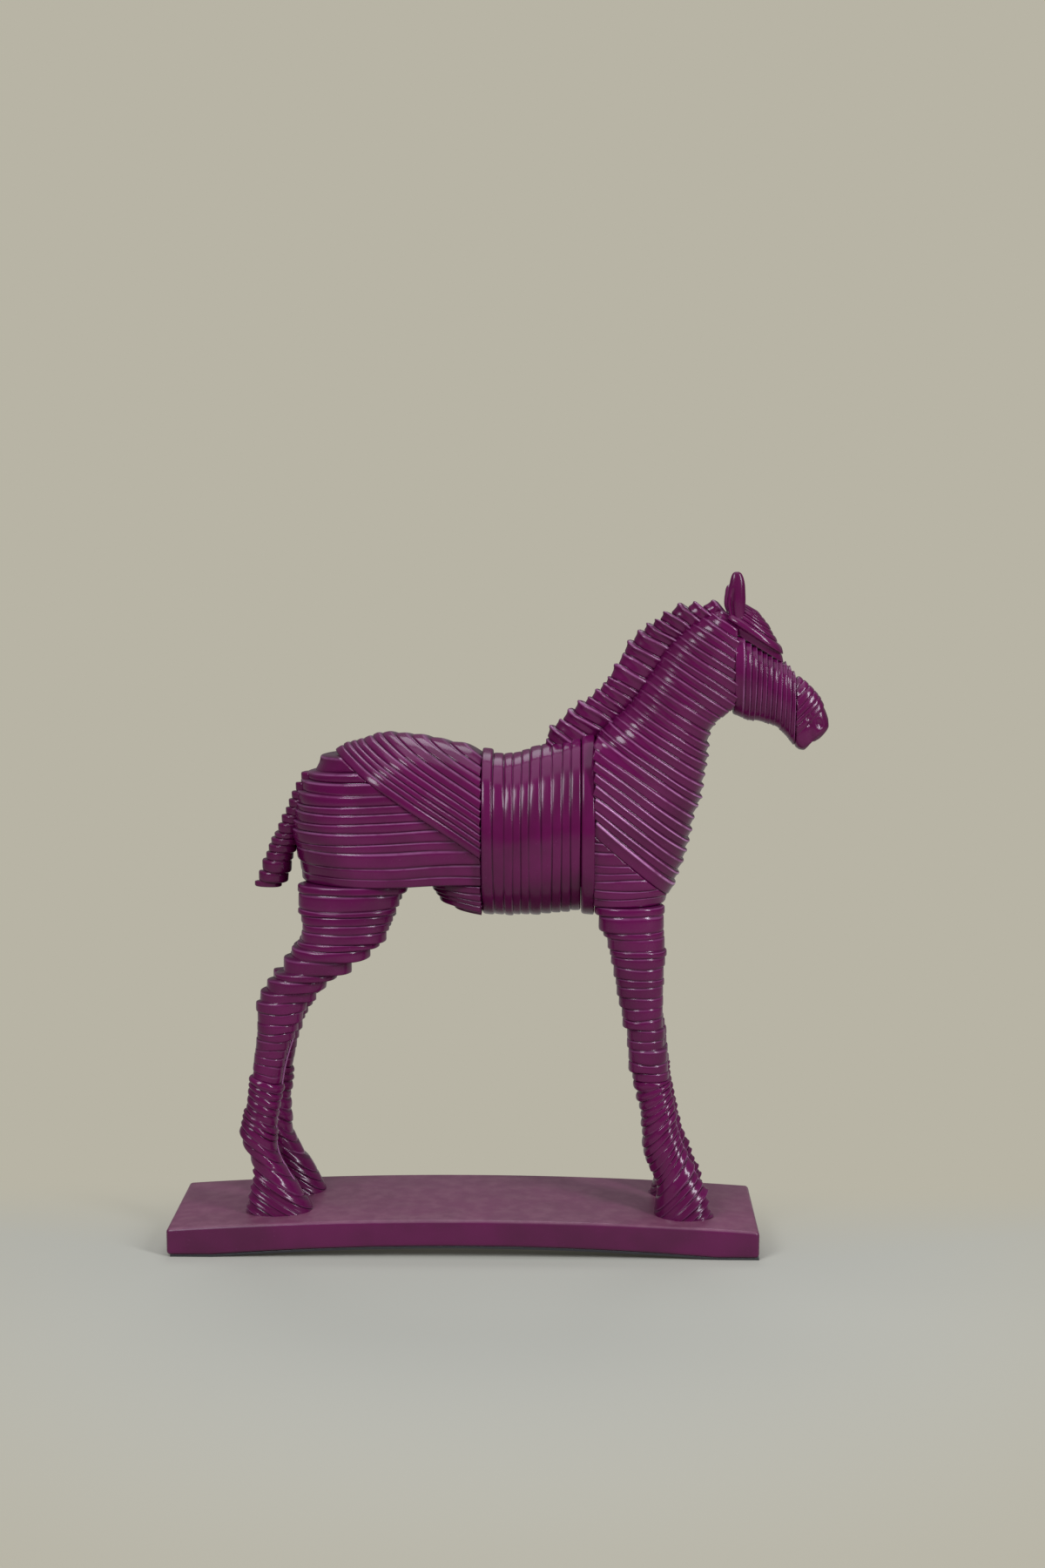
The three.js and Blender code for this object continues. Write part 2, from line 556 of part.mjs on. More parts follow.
// Armature rods, bent along the middle of each leg
function middle(row) {
  return new THREE.Vector3((row[0] + row[2]) / 2, row[4], (row[1] + row[3]) / 2);
}

function rodPath(upper, lower) {
  const footX = middle(lower[lower.length - 2]).x;
  const y = lower[0][4];
  const nutSeat = slabBottomZ + undersideAt(footX - slabAhead) + nutPocketDepth;
  const top = middle(upper[0]);
  const points = [
    new THREE.Vector3(footX, y, nutSeat - nutHeight - seam),
    new THREE.Vector3(footX, y, slabBottomZ + slabThickness),
    ...[...lower].reverse().slice(3, -1).filter((_, i) => i % 3 === 0).map(middle),
    ...[...upper].reverse().slice(0, -1).filter((_, i) => i % 2 === 0).map(middle),
    top,
    new THREE.Vector3(top.x, top.y * 0.8, top.z + rodReach),
  ];
  return new THREE.CatmullRomCurve3(points, false, 'centripetal');
}

function rod(path, diameter) {
  const section = new THREE.Shape();
  const corners = 6;
  for (let i = 0; i < corners; i++) {
    const turn = (2 * Math.PI * i) / corners;
    const x = (diameter / 2) * Math.cos(turn);
    const y = (diameter / 2) * Math.sin(turn);
    if (i) section.lineTo(x, y);
    else section.moveTo(x, y);
  }
  section.closePath();
  const geometry = new THREE.ExtrudeGeometry(section, { steps: 14, extrudePath: path, bevelEnabled: false });
  return toSolid(geometry);
}

function cylinder(radius, from, to, x, y, sides) {
  const geometry = new THREE.CylinderGeometry(radius, radius, to - from, sides);
  geometry.rotateX(Math.PI / 2);
  geometry.translate(x, y, (from + to) / 2);
  return toSolid(geometry);
}

// Ears: a leaf set in a socket beside the poll. Its own rows give shares of its length.
const earSeatX = 156;
const earSpread = 9.5;
function ear(side, lean, back, scale) {
  const size = earLength * scale;
  const rows = [
    [-0.11, -0.16, 0.12, 0.08],
    [-0.16, 0, 0.16, 0.1],
    [-0.219, 0.31, 0.195, 0.129],
    [-0.195, 0.55, 0.195, 0.125],
    [-0.156, 0.72, 0.187, 0.11],
    [-0.117, 0.86, 0.152, 0.082],
    [-0.04, 1, 0.07, 0.035],
  ].map(([bx, z, fx, half]) => [bx * size, z * size, fx * size, z * size, 0, ...oval(half * size)]);
  const place = new THREE.Matrix4()
    .makeTranslation(lengthwise(earSeatX), side * crosswise(earSpread), pollHeight)
    .multiply(new THREE.Matrix4().makeRotationX(-side * lean))
    .multiply(new THREE.Matrix4().makeRotationY(-back));
  const placed = (solid) => solid.transform(place.elements);
  return { solid: placed(plain(rows, 7, 10)), socket: placed(plain(rows, 7, 10, seam)) };
}

const rightEar = ear(-1, 0.05, 0.03, 1);
const leftEar = ear(1, 0.8, 0.08, 0.9);

// Body core: the plain form inside the windings, from the haunches to the lips
const trunkCore = [
  station(-84, 205, -84, 240, oval(10)),
  station(-70, 196, -70, 258, oval(24)),
  station(-45, 192, -45, 264, oval(27)),
  station(-10, 194, -10, 262, oval(24)),
  station(30, 180, 30, 256, oval(27)),
  station(65, 186, 65, 262, oval(25)),
  station(95, 196, 95, 256, oval(20)),
  station(112, 205, 116, 236, oval(10)),
];
const neckCore = [
  station(84, 238, 112, 214, oval(14)),
  station(92, 268, 126, 246, oval(15)),
  station(112, 298, 138, 282, oval(11)),
  station(130, 322, 150, 308, oval(8.5)),
  station(150, 334, 160, 306, oval(8)),
  station(172, 324, 170, 294, oval(7)),
  station(189, 303, 184, 286, oval(5)),
  station(200, 290, 196, 281, oval(3.5)),
];
const coreRaw = plain(trunkCore, 10, 12).add(plain(neckCore, 10, 10));
const coreClear = plain(trunkCore, 10, 12, coreClearance).add(plain(neckCore, 10, 10, coreClearance));

// Build every piece of the figure. Rods are made first, because everything they pass is bored for them.
const figure = new THREE.Group();
let slab = slabRaw;
let core = coreRaw;
const bored = [];
for (const { name, side, hind, fore } of legSides) {
  const legs = {
    hind: { upper: hindUpper(side, hind), lower: hindLower(side, hind), strips: hindStrips },
    fore: { upper: foreUpper(side, fore), lower: foreLower(side, fore), strips: foreStrips },
  };
  for (const [leg, { upper, lower, strips }] of Object.entries(legs)) {
    const path = rodPath(upper, lower);
    const bore = rod(path, rodDiameter + 2 * rodClearance);
    bored.push(bore);
    figure.add(toMesh(`${leg}_rod_${name}`, rod(path, rodDiameter), steel));

    const foot = path.getPoint(0);
    const seat = foot.z + nutHeight + seam;
    const pocket = cylinder(nutPocketDiameter / 2, seat - 30, seat, foot.x, foot.y, 16);
    const nutBlank = cylinder(nutAcrossFlats / Math.sqrt(3), foot.z, foot.z + nutHeight, foot.x, foot.y, 6);
    const nut = nutBlank.subtract(cylinder(rodDiameter / 2 + 0.35, foot.z - 1, seat, foot.x, foot.y, 12));
    figure.add(toMesh(`${leg}_nut_${name}`, nut, steel));
    slab = slab.subtract(pocket).subtract(bore);
    core = core.subtract(bore);

    const upperWound = winding(upper, strips.upper, 10, { startGap: seam });
    const lowerWound = winding(lower, strips.lower, 8, { startGap: seam, endDepth: footDepth });
    const upperCut = leg === 'fore' ? upperWound.subtract(behind(lengthwise(chestBack))) : upperWound;
    figure.add(toMesh(`${leg}_upper_${name}`, upperCut.subtract(bore), paint));
    figure.add(toMesh(`${leg}_lower_${name}`, lowerWound.subtract(bore).subtract(slabClear), paint));
  }
}
const bores = bored.reduce((all, bore) => all.add(bore));
const hollow = coreClear.add(bores);

const tailSocket = plain(tail, 8, 8, bandDepth + seam);
const maneSlot = plain(mane, 12, 10, lipDepth + seam);
const saddle = station(chestBack, 172, chestBack, 277.8, [0, 17, 30.5, 34, 29, 17, 0]);
const underMane = plain([...girth, saddle], 5, 20, bandDepth * Math.max(...girthProud) + seam);
const overCheek = above(brow[0][0], brow[0][1], brow[0][2], brow[0][3], seam)
  .subtract(behind(brow[0][0] - seam));
const overCroup = above(croup[0][0], croup[0][1], croup[0][2], croup[0][3], seam);
const overNeck = above(neck[0][0], neck[0][1], neck[0][2], neck[0][3], seam);

const bands = { crown: bandCrown };
const lipped = { crown: lipCrown, depth: lipDepth };
const trunk = {
  haunch_winding: winding(haunch, haunchStrips, 20, bands).subtract(overCroup).subtract(tailSocket),
  croup_winding: winding(croup, croupStrips, 18, { depth: ropeDepth }),
  flank_winding: winding(flank, flankStrips, 14, bands),
  girth_winding: winding(girth, girthStrips, 20, { crown: bandCrown, proud: girthProud }),
  girth_strap: winding(strap, 1, 20, { crown: bandCrown }),
  breast_winding: winding(breast, breastStrips, 16, bands).subtract(overNeck),
  neck_winding: winding(neck, neckStrips, 16, lipped).subtract(maneSlot).subtract(overCheek)
    .subtract(behind(lengthwise(chestBack))).subtract(behind(lengthwise(neckEnd), true)),
  mane_winding: winding(mane, maneStrips, 10, lipped).subtract(underMane),
  tail_winding: winding(tail, tailStrips, 8),
  brow_winding: winding(brow, browStrips, 14, { crown: bandCrown, proud: browProud })
    .subtract(rightEar.socket).subtract(leftEar.socket),
  cheek_winding: winding(cheek, cheekStrips, 14, { crown: lipCrown }).subtract(overCheek)
    .subtract(behind(lengthwise(noseSeam), true)),
  muzzle_winding: winding(muzzle, muzzleStrips, 14, { crown: bandCrown, proud: muzzleProud })
    .subtract(behind(lengthwise(noseBack))),
};
for (const [name, solid] of Object.entries(trunk)) {
  figure.add(toMesh(name, solid.subtract(hollow), paint));
}
figure.add(toMesh('ear_right', rightEar.solid, paint));
figure.add(toMesh('ear_left', leftEar.solid, paint));
figure.add(toMesh('body_core', core, resin));
figure.add(toMesh('base_slab', slab, paint));
figure.add(toMesh('base_liner', liner, felt));
figure.position.z = slabTop;

const horse = new THREE.Group();
horse.add(figure);
const footprint = new THREE.Box3().setFromObject(horse);
figure.position.x = -(footprint.min.x + footprint.max.x) / 2;
figure.position.y = -(footprint.min.y + footprint.max.y) / 2;

export default horse;
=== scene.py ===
"""A standing foal, wound all over from flat strips and painted one plum colour, on a bowed slab
with felt under it.

The strips are laid round the form in planes that cross the side view. Each winding is given by
stations, as in the part's source: the back and front point of a plane in the side view, and seven
half widths from one to the other. Side view sizes are in millimetres, X from 1 mm behind the middle
of the part's slab and Z from the highest point of its top. Camera, lamps and materials are in
metres.
"""

import math
import random

import bmesh
import bpy
import numpy as np
from mathutils import Matrix, Vector


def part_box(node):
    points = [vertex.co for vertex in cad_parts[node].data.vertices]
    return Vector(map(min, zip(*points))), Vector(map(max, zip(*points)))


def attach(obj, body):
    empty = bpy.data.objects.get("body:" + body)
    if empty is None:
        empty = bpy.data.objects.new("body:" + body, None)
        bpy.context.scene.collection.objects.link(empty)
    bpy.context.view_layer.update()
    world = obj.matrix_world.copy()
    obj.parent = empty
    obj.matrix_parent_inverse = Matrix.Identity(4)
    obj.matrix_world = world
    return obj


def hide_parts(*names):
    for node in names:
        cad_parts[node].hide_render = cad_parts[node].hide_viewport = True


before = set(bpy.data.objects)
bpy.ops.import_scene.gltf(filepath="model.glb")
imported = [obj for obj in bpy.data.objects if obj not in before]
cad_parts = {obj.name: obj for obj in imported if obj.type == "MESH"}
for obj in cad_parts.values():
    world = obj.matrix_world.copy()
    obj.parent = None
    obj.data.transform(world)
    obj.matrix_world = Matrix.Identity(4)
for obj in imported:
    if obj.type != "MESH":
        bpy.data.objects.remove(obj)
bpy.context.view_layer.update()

MM = 0.001
SLAB_LOW, SLAB_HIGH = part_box("base_slab")
SLAB_AHEAD = 0.001    # how far the part's slab lies ahead of the place that X is counted from
ORIGIN_X = (SLAB_LOW.x + SLAB_HIGH.x) / 2 - SLAB_AHEAD
SLAB_TOP = SLAB_HIGH.z

SLAB_LENGTH = 342
SLAB_DEPTH = 90
SLAB_THICK = 15.5
SLAB_BOW = 6        # how far its middle rises above its ends
FOOT_LENGTH = 25    # flat stretch under each end


def at(x, y, z):
    """A point of the side view, with its depth, in the frame of the part."""
    return Vector((x * MM + ORIGIN_X, y * MM, z * MM + SLAB_TOP))


# The camera stands 70 mm above the tips of the foal's ears, abreast of its girth, and looks down.
CAMERA_PLACE = Vector((0.0591 + ORIGIN_X, -1.3725, 0.4638))
TURNED_LEFT, TURNED_DOWN = 1.05, 8.03    # degrees
LENS, SENSOR = 55, 36                    # millimetres


def set_camera():
    camera_data = bpy.data.cameras.new("camera")
    camera_data.lens = LENS
    camera_data.sensor_width = SENSOR
    camera_data.clip_start = 0.05
    camera = bpy.data.objects.new("camera", camera_data)
    bpy.context.scene.collection.objects.link(camera)
    yaw = Matrix.Rotation(math.radians(TURNED_LEFT), 4, "Z")
    pitch = Matrix.Rotation(math.radians(90 - TURNED_DOWN), 4, "X")
    camera.matrix_world = Matrix.Translation(CAMERA_PLACE) @ (yaw @ pitch)
    bpy.context.scene.camera = camera


set_camera()


def linear(red, green, blue):
    """A colour as it looks on screen, from 0 to 255, as the shaders take it."""
    def one(c):
        c /= 255
        return c / 12.92 if c <= 0.04045 else ((c + 0.055) / 1.055) ** 2.4
    return (one(red), one(green), one(blue), 1)


class Mix:
    """A material's nodes, each made and linked in one call."""

    def __init__(self, name):
        self.material = bpy.data.materials.new(name)
        self.material.use_nodes = True
        self.tree = self.material.node_tree
        self.surface = self.tree.nodes["Principled BSDF"]
        self.place = self.add("ShaderNodeTexCoord").outputs["Object"]

    def add(self, kind, links=None, **values):
        node = self.tree.nodes.new(kind)
        for key, value in values.items():
            setattr(node, key, value)
        for key, value in (links or {}).items():
            self.put(node.inputs[key], value)
        return node

    def put(self, socket, value):
        if isinstance(value, bpy.types.NodeSocket):
            self.tree.links.new(value, socket)
        else:
            socket.default_value = value

    def math(self, operation, a, b=0.0):
        return self.add("ShaderNodeMath", {0: a, 1: b}, operation=operation).outputs[0]

    def times(self, a, b):
        return self.math("MULTIPLY", a, b)

    def axis(self, vector, letter):
        return self.add("ShaderNodeSeparateXYZ", {"Vector": vector}).outputs[letter]

    def fit(self, value, low, high, to_low=0.0, to_high=1.0):
        """The value eased from one range to another, and held at its ends."""
        links = {"Value": value, "From Min": low, "From Max": high,
                 "To Min": to_low, "To Max": to_high}
        node = self.add("ShaderNodeMapRange", links, interpolation_type="SMOOTHSTEP")
        return node.outputs["Result"]

    def noise(self, scale, detail=2.0, rough=0.5, stretch=None):
        where = self.place
        if stretch:
            links = {"Vector": where, "Scale": stretch}
            where = self.add("ShaderNodeMapping", links).outputs["Vector"]
        links = {"Vector": where, "Scale": scale, "Detail": detail, "Roughness": rough}
        return self.add("ShaderNodeTexNoise", links).outputs["Fac"]

    def blend(self, share, first, second):
        node = self.add("ShaderNodeMix", data_type="RGBA")
        self.put(node.inputs["Factor"], share)
        self.put(node.inputs["A"], first)
        self.put(node.inputs["B"], second)
        return node.outputs["Result"]

    def bump(self, height, strength, distance, under=None):
        links = {"Height": height, "Strength": strength, "Distance": distance}
        if under is not None:
            links["Normal"] = under
        return self.add("ShaderNodeBump", links).outputs["Normal"]

    def set(self, **sockets):
        for key, value in sockets.items():
            label = key.replace("_", " ").title().replace("Ior", "IOR")
            self.put(self.surface.inputs[label], value)


PLUM = linear(94, 11, 70)
PLUM_DEEP = linear(80, 8, 58)
PLUM_PALE = linear(134, 60, 118)
# Pale plum for painted highlight lines along strip edges and over the mould seam.
PLUM_HIGHLIGHT = linear(188, 124, 176)
# Pale colour on what faces up on the slab: some dust, mostly painted reflection.
PLUM_DUST_AND_SHEEN = linear(150, 106, 120)
# Colour of the grooves between strips: painted shade, partly grime.
PLUM_GRIME_AND_SHADE = linear(44, 4, 34)
GRIME_AND_SHADE_SHARE = 0.5
SPECK_SHARE = 0.25
FADED_HIGHLIGHT = 0.3    # what is left of the painted highlight above the height that it reaches up to


def shaded_and_highlit_strips(m, tone, edge, edge_highlight, highlit_up_to):
    """Painted shade, partly grime, in the grooves, and a painted highlight line along each strip's
    edge.
    """
    wrap = m.add("ShaderNodeUVMap", uv_map="wrap").outputs["UV"]
    across = m.math("FRACT", m.axis(wrap, "Y"))
    relief = m.add("ShaderNodeAttribute", attribute_name="relief").outputs["Fac"]
    near_groove = m.times(m.fit(m.math("PINGPONG", across, 0.5), 0.02, 0.12, 1, 0), relief)
    # Painted shade in the grooves, partly grime.
    tone = m.blend(m.times(near_groove, GRIME_AND_SHADE_SHARE), tone, PLUM_GRIME_AND_SHADE)
    near_edge = m.fit(m.math("ABSOLUTE", m.math("SUBTRACT", across, edge)), 0.02, 0.11, 1, 0)
    patchy = m.times(m.fit(m.noise(70, 3, 0.6), 0.3, 0.6, 0.3, 1), relief)
    if highlit_up_to is not None:
        height = m.axis(m.place, "Z")
        fading = m.fit(height, highlit_up_to - 0.04, highlit_up_to + 0.02, 1, FADED_HIGHLIGHT)
        patchy = m.times(patchy, fading)
    # Painted highlight line along each strip's edge.
    return m.blend(m.times(m.times(near_edge, patchy), edge_highlight), tone, PLUM_HIGHLIGHT)


def plum_paint(name, slab=False, edge=None, edge_highlight=0.0, highlit_up_to=None, highlit_all_over=0.0):
    """Thick gloss paint over resin, paler on what faces up: a little dust and painted sheen.

    On a winding, each strip has a painted highlight line along its edge, whose place across the
    strip is a share of its width, and which is fainter above a height, in metres, if one is given.
    """
    dust_and_sheen_colour, dust_and_sheen_share, least_dust_and_sheen = (PLUM_DUST_AND_SHEEN, 0.48, 0.6) if slab else (PLUM_PALE, 0.12, 0.1)
    specular, smoothest, roughest = (0.5, 0.28, 0.38) if slab else (0.36, 0.15, 0.23)
    m = Mix(name)
    cloud = m.noise(28, 3)
    tone = m.blend(m.fit(cloud, 0.35, 0.7), PLUM, PLUM_DEEP)
    if highlit_all_over:
        # Painted highlight over the whole piece, for the seam's bright ridge.
        tone = m.blend(highlit_all_over, tone, PLUM_HIGHLIGHT)
    up = m.axis(m.add("ShaderNodeNewGeometry").outputs["Normal"], "Z")
    patches = m.fit(m.noise(120, 4, 0.6), 0.35, 0.75, least_dust_and_sheen, 1)
    # Paler on what faces up: some dust and painted sheen, most of all on the slab.
    dust_and_sheen = m.times(m.fit(up, 0.3, 0.98), patches)
    tone = m.blend(m.times(dust_and_sheen, dust_and_sheen_share), tone, dust_and_sheen_colour)
    if edge is not None:
        tone = shaded_and_highlit_strips(m, tone, edge, edge_highlight, highlit_up_to)
    specks = m.fit(m.noise(900, 1), 0.73, 0.78)
    tone = m.blend(m.times(specks, SPECK_SHARE), tone, PLUM_PALE)
    m.set(base_color=tone, specular_ior_level=specular)
    m.set(roughness=m.fit(cloud, 0.3, 0.7, smoothest, roughest))
    swell = m.bump(m.noise(55, 1), 0.35, 0.0012)
    peel = m.bump(m.noise(700, 2), 0.07, 0.0002, swell)
    m.set(normal=peel)
    return m.material


def raw_resin():
    m = Mix("raw_resin")
    tone = m.blend(m.noise(60, 4), linear(206, 196, 176), linear(188, 176, 152))
    m.set(base_color=tone, roughness=0.7)
    m.set(normal=m.bump(m.noise(400, 3), 0.3, 0.0003))
    return m.material


def plain_steel():
    m = Mix("plain_steel")
    tone = m.blend(m.noise(200, 2), linear(168, 170, 172), linear(140, 142, 146))
    m.set(base_color=tone, metallic=1.0)
    m.set(roughness=m.fit(m.noise(500, 2, 0.5, (1, 1, 0.1)), 0.3, 0.7, 0.25, 0.45))
    return m.material


def black_felt():
    m = Mix("black_felt")
    fibre = m.noise(1800, 3, 0.7)
    tone = m.blend(fibre, linear(20, 19, 22), linear(52, 50, 54))
    m.set(base_color=tone, roughness=0.95, sheen_weight=0.3)
    m.set(normal=m.bump(fibre, 0.6, 0.0005))
    return m.material


PAINT = plum_paint("plum_paint")
# On these windings the pale edge lines are painted highlight, and the darker grooves painted shade,
# partly grime.
LIP_PAINT = plum_paint("plum_lip_paint", edge=0.84, edge_highlight=0.9, highlit_up_to=0.29)
FAINT_LIP_PAINT = plum_paint("plum_faint_lip_paint", edge=0.84, edge_highlight=0.3)
# The mould seam is painted pale all over, as a painted highlight along its ridge.
SEAM_PAINT = plum_paint("plum_seam_paint", highlit_all_over=0.6)
TOP_EDGE_PAINT = plum_paint("plum_top_edge_paint", edge=0.9, edge_highlight=0.3)
LEG_PAINT = plum_paint("plum_leg_paint", edge=0.1, edge_highlight=0.18)
GIRTH_PAINT = plum_paint("plum_girth_paint", edge=0.9)
SLAB_PAINT = plum_paint("plum_slab_paint", slab=True)
RESIN, STEEL, FELT = raw_resin(), plain_steel(), black_felt()


def open_edges(bm):
    return [e for e in bm.edges if e.is_boundary]


def finish_piece(name, bm, nodes, material=PAINT, sharp=50):
    """Turns a bmesh into a piece of the object that stands for the named nodes."""
    mesh = bpy.data.meshes.new(name)
    bm.to_mesh(mesh)
    bm.free()
    mesh.materials.append(material)
    mesh.shade_smooth()
    mesh.set_sharp_from_angle(angle=math.radians(sharp))
    piece = bpy.data.objects.new(name, mesh)
    bpy.context.scene.collection.objects.link(piece)
    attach(piece, "root")
    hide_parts(*nodes)


# Windings
def oval(half, fuller=0.92):
    """Seven half widths of a plain oval section."""
    return [half * max(math.sin(math.pi * i / 6), 0) ** fuller for i in range(7)]


def between(before, a, b, after, s):
    """The value at share s of the way from a to b, on a smooth curve through all four."""
    slope_a, slope_b = (b - before) / 2, (after - a) / 2
    rise = 3 * (b - a) - 2 * slope_a - slope_b
    return a + s * (slope_a + s * (rise + s * (2 * (a - b) + slope_a + slope_b)))


def smooth(rows, t):
    """The rows' values at places t, from 0 to 1, on a smooth curve through them."""
    last = len(rows) - 1
    where = np.clip(t, 0, 1) * last
    i = np.minimum(where.astype(int), last - 1)
    s = (where - i)[..., None]
    before, after = rows[np.maximum(i - 1, 0)], rows[np.minimum(i + 2, last)]
    return between(before, rows[i], rows[i + 1], after, s)


def evenly(rows):
    """Shares of a winding's length, and the places along its rows that have them."""
    t = np.linspace(0, 1, 121)
    values = smooth(rows, t)
    back, front = values[:, :2], values[:, 2:4]
    chord = (front - back) / np.linalg.norm(front - back, axis=1)[:, None]
    step = np.diff((back + front) / 2, axis=0)
    width = np.abs(chord[1:, 0] * step[:, 1] - chord[1:, 1] * step[:, 0])
    share = np.concatenate([[0], np.cumsum(width)])
    return share / share[-1], t


def pair(value):
    """A value for a winding's first strip and one for its last."""
    return value if isinstance(value, tuple) else (value, value)


# A strip's section, as heights at these shares of its width: a band with eased edges, one that
# leans out to a bright lip at its last edge, a round rope, a flat band with rounded edges, a broad
# strap, and a soft band that is fullest near its last edge.
FRACTIONS = np.array([0, 0.05, 0.12, 0.25, 0.45, 0.6, 0.72, 0.84, 0.94])
SECTIONS = {
    "ledge": [0, 0.5, 0.8, 0.92, 0.96, 0.98, 1.0, 0.98, 0.78],
    "lip": [0, 0.3, 0.4, 0.44, 0.52, 0.66, 0.96, 1.0, 0.6],
    "rope": [0, 0.3, 0.55, 0.82, 1.0, 0.98, 0.86, 0.6, 0.28],
    "flat": [0, 0.5, 0.82, 0.98, 1.0, 1.0, 0.98, 0.86, 0.5],
    "strap": [0, 0.6, 0.88, 1.0, 1.0, 1.0, 1.0, 1.0, 0.92],
    "soft": [0, 0.52, 0.7, 0.84, 0.93, 0.98, 1.0, 0.96, 0.72],
}
WAVES = ((1, 0.6), (2, 0.45), (3, 0.3), (5, 0.15))    # waves round the form, and their weights
BLUNT = 0.8             # an end of a chord with a half width above this is cut off flat
FILLED_HEIGHT = 0.85    # how high paint stands in a groove that it fills
MID_FLANK, FLANK_REACH = 1.45, 0.55    # radians round from the back, where the sides are smoothed
BROAD, NARROW = 1.45, 0.7    # widths of an odd strip here and there


def strip_widths(seed, count, spread):
    """Widths of a winding's strips: mostly alike, with a broad or a narrow one here and there."""
    draw = random.Random(seed)
    widths = []
    for _ in range(count):
        width = 1 + spread * draw.uniform(-1, 1)
        chance = draw.random()
        if chance < 0.12 * spread / 0.25:
            width *= BROAD
        elif chance > 1 - 0.15 * spread / 0.25:
            width *= NARROW
        widths.append(width)
    return widths


def wavering_edges(draw, widths, angle, wobble):
    """How far each strip's edge strays from its place, round the form."""
    waver = np.zeros((len(widths) + 1, len(angle)))
    for k in range(1, len(widths)):
        reach = wobble * min(widths[k - 1], widths[k]) / widths.sum()
        for times, weight in WAVES:
            waver[k] += reach * weight * np.sin(times * angle + draw.uniform(0, 2 * np.pi))
    return waver


def filled_grooves(draw, edges, turn, angle, fade, flanks, crest):
    """How full of paint each groove is, round the form. Here and there two strips run into one."""
    filled = np.zeros((len(edges), len(angle)))
    for k in range(1, len(edges) - 1):
        wave = np.sin(angle * draw.choice((1, 2)) + draw.uniform(0, 2 * np.pi))
        wave = wave + draw.uniform(-1, 0.3)
        filled[k] = np.interp(edges[k], [0, 1], pair(fade)) * np.clip(wave, 0, 1)
    if flanks:
        smoothed = flanks * np.exp(-((turn - MID_FLANK) / FLANK_REACH) ** 2)
        filled = np.maximum(filled, smoothed)
    if crest:
        from_edge, reach = crest
        near_back = np.clip((reach - turn) / (0.45 * reach), 0, 1)
        beyond = edges > from_edge
        filled[beyond] = np.maximum(filled[beyond], 0.75 * near_back)
    return filled


def half_widths(halves, turn):
    """Half widths at each turn, on a smooth curve through the seven that are given."""
    place = turn / np.pi * 6
    i = np.minimum(place.astype(int), 5)
    picked = []
    for d in (-1, 0, 1, 2):
        which = np.broadcast_to(np.clip(i + d, 0, 6), halves.shape[:2])[..., None]
        picked.append(np.take_along_axis(halves, which, -1)[..., 0])
    return np.maximum(between(*picked, place - i), 0)


def closed_skin(points, relief, round_share, strip_share):
    """A grid of points joined into a closed skin, with its relief and a UV map of the strips."""
    rows, columns = points.shape[:2]
    bm = bmesh.new()
    bm.loops.layers.uv.new("wrap")
    relief_layer = bm.verts.layers.float.new("relief")
    bmesh.ops.create_grid(bm, x_segments=columns - 1, y_segments=rows - 1, size=1, calc_uvs=True)
    for vert, point, value in zip(bm.verts, points.reshape(-1, 3), relief.ravel()):
        vert.co = at(*point)
        vert[relief_layer] = value
    wrap = bm.loops.layers.uv.active
    bm.verts.index_update()
    for face in bm.faces:
        for loop in face.loops:
            row, column = divmod(loop.vert.index, columns)
            loop[wrap].uv = (round_share[column], strip_share[row])
    bmesh.ops.remove_doubles(bm, verts=bm.verts, dist=1e-6)
    bmesh.ops.dissolve_degenerate(bm, edges=bm.edges, dist=1e-7)
    bmesh.ops.holes_fill(bm, edges=open_edges(bm), sides=0)
    return bm


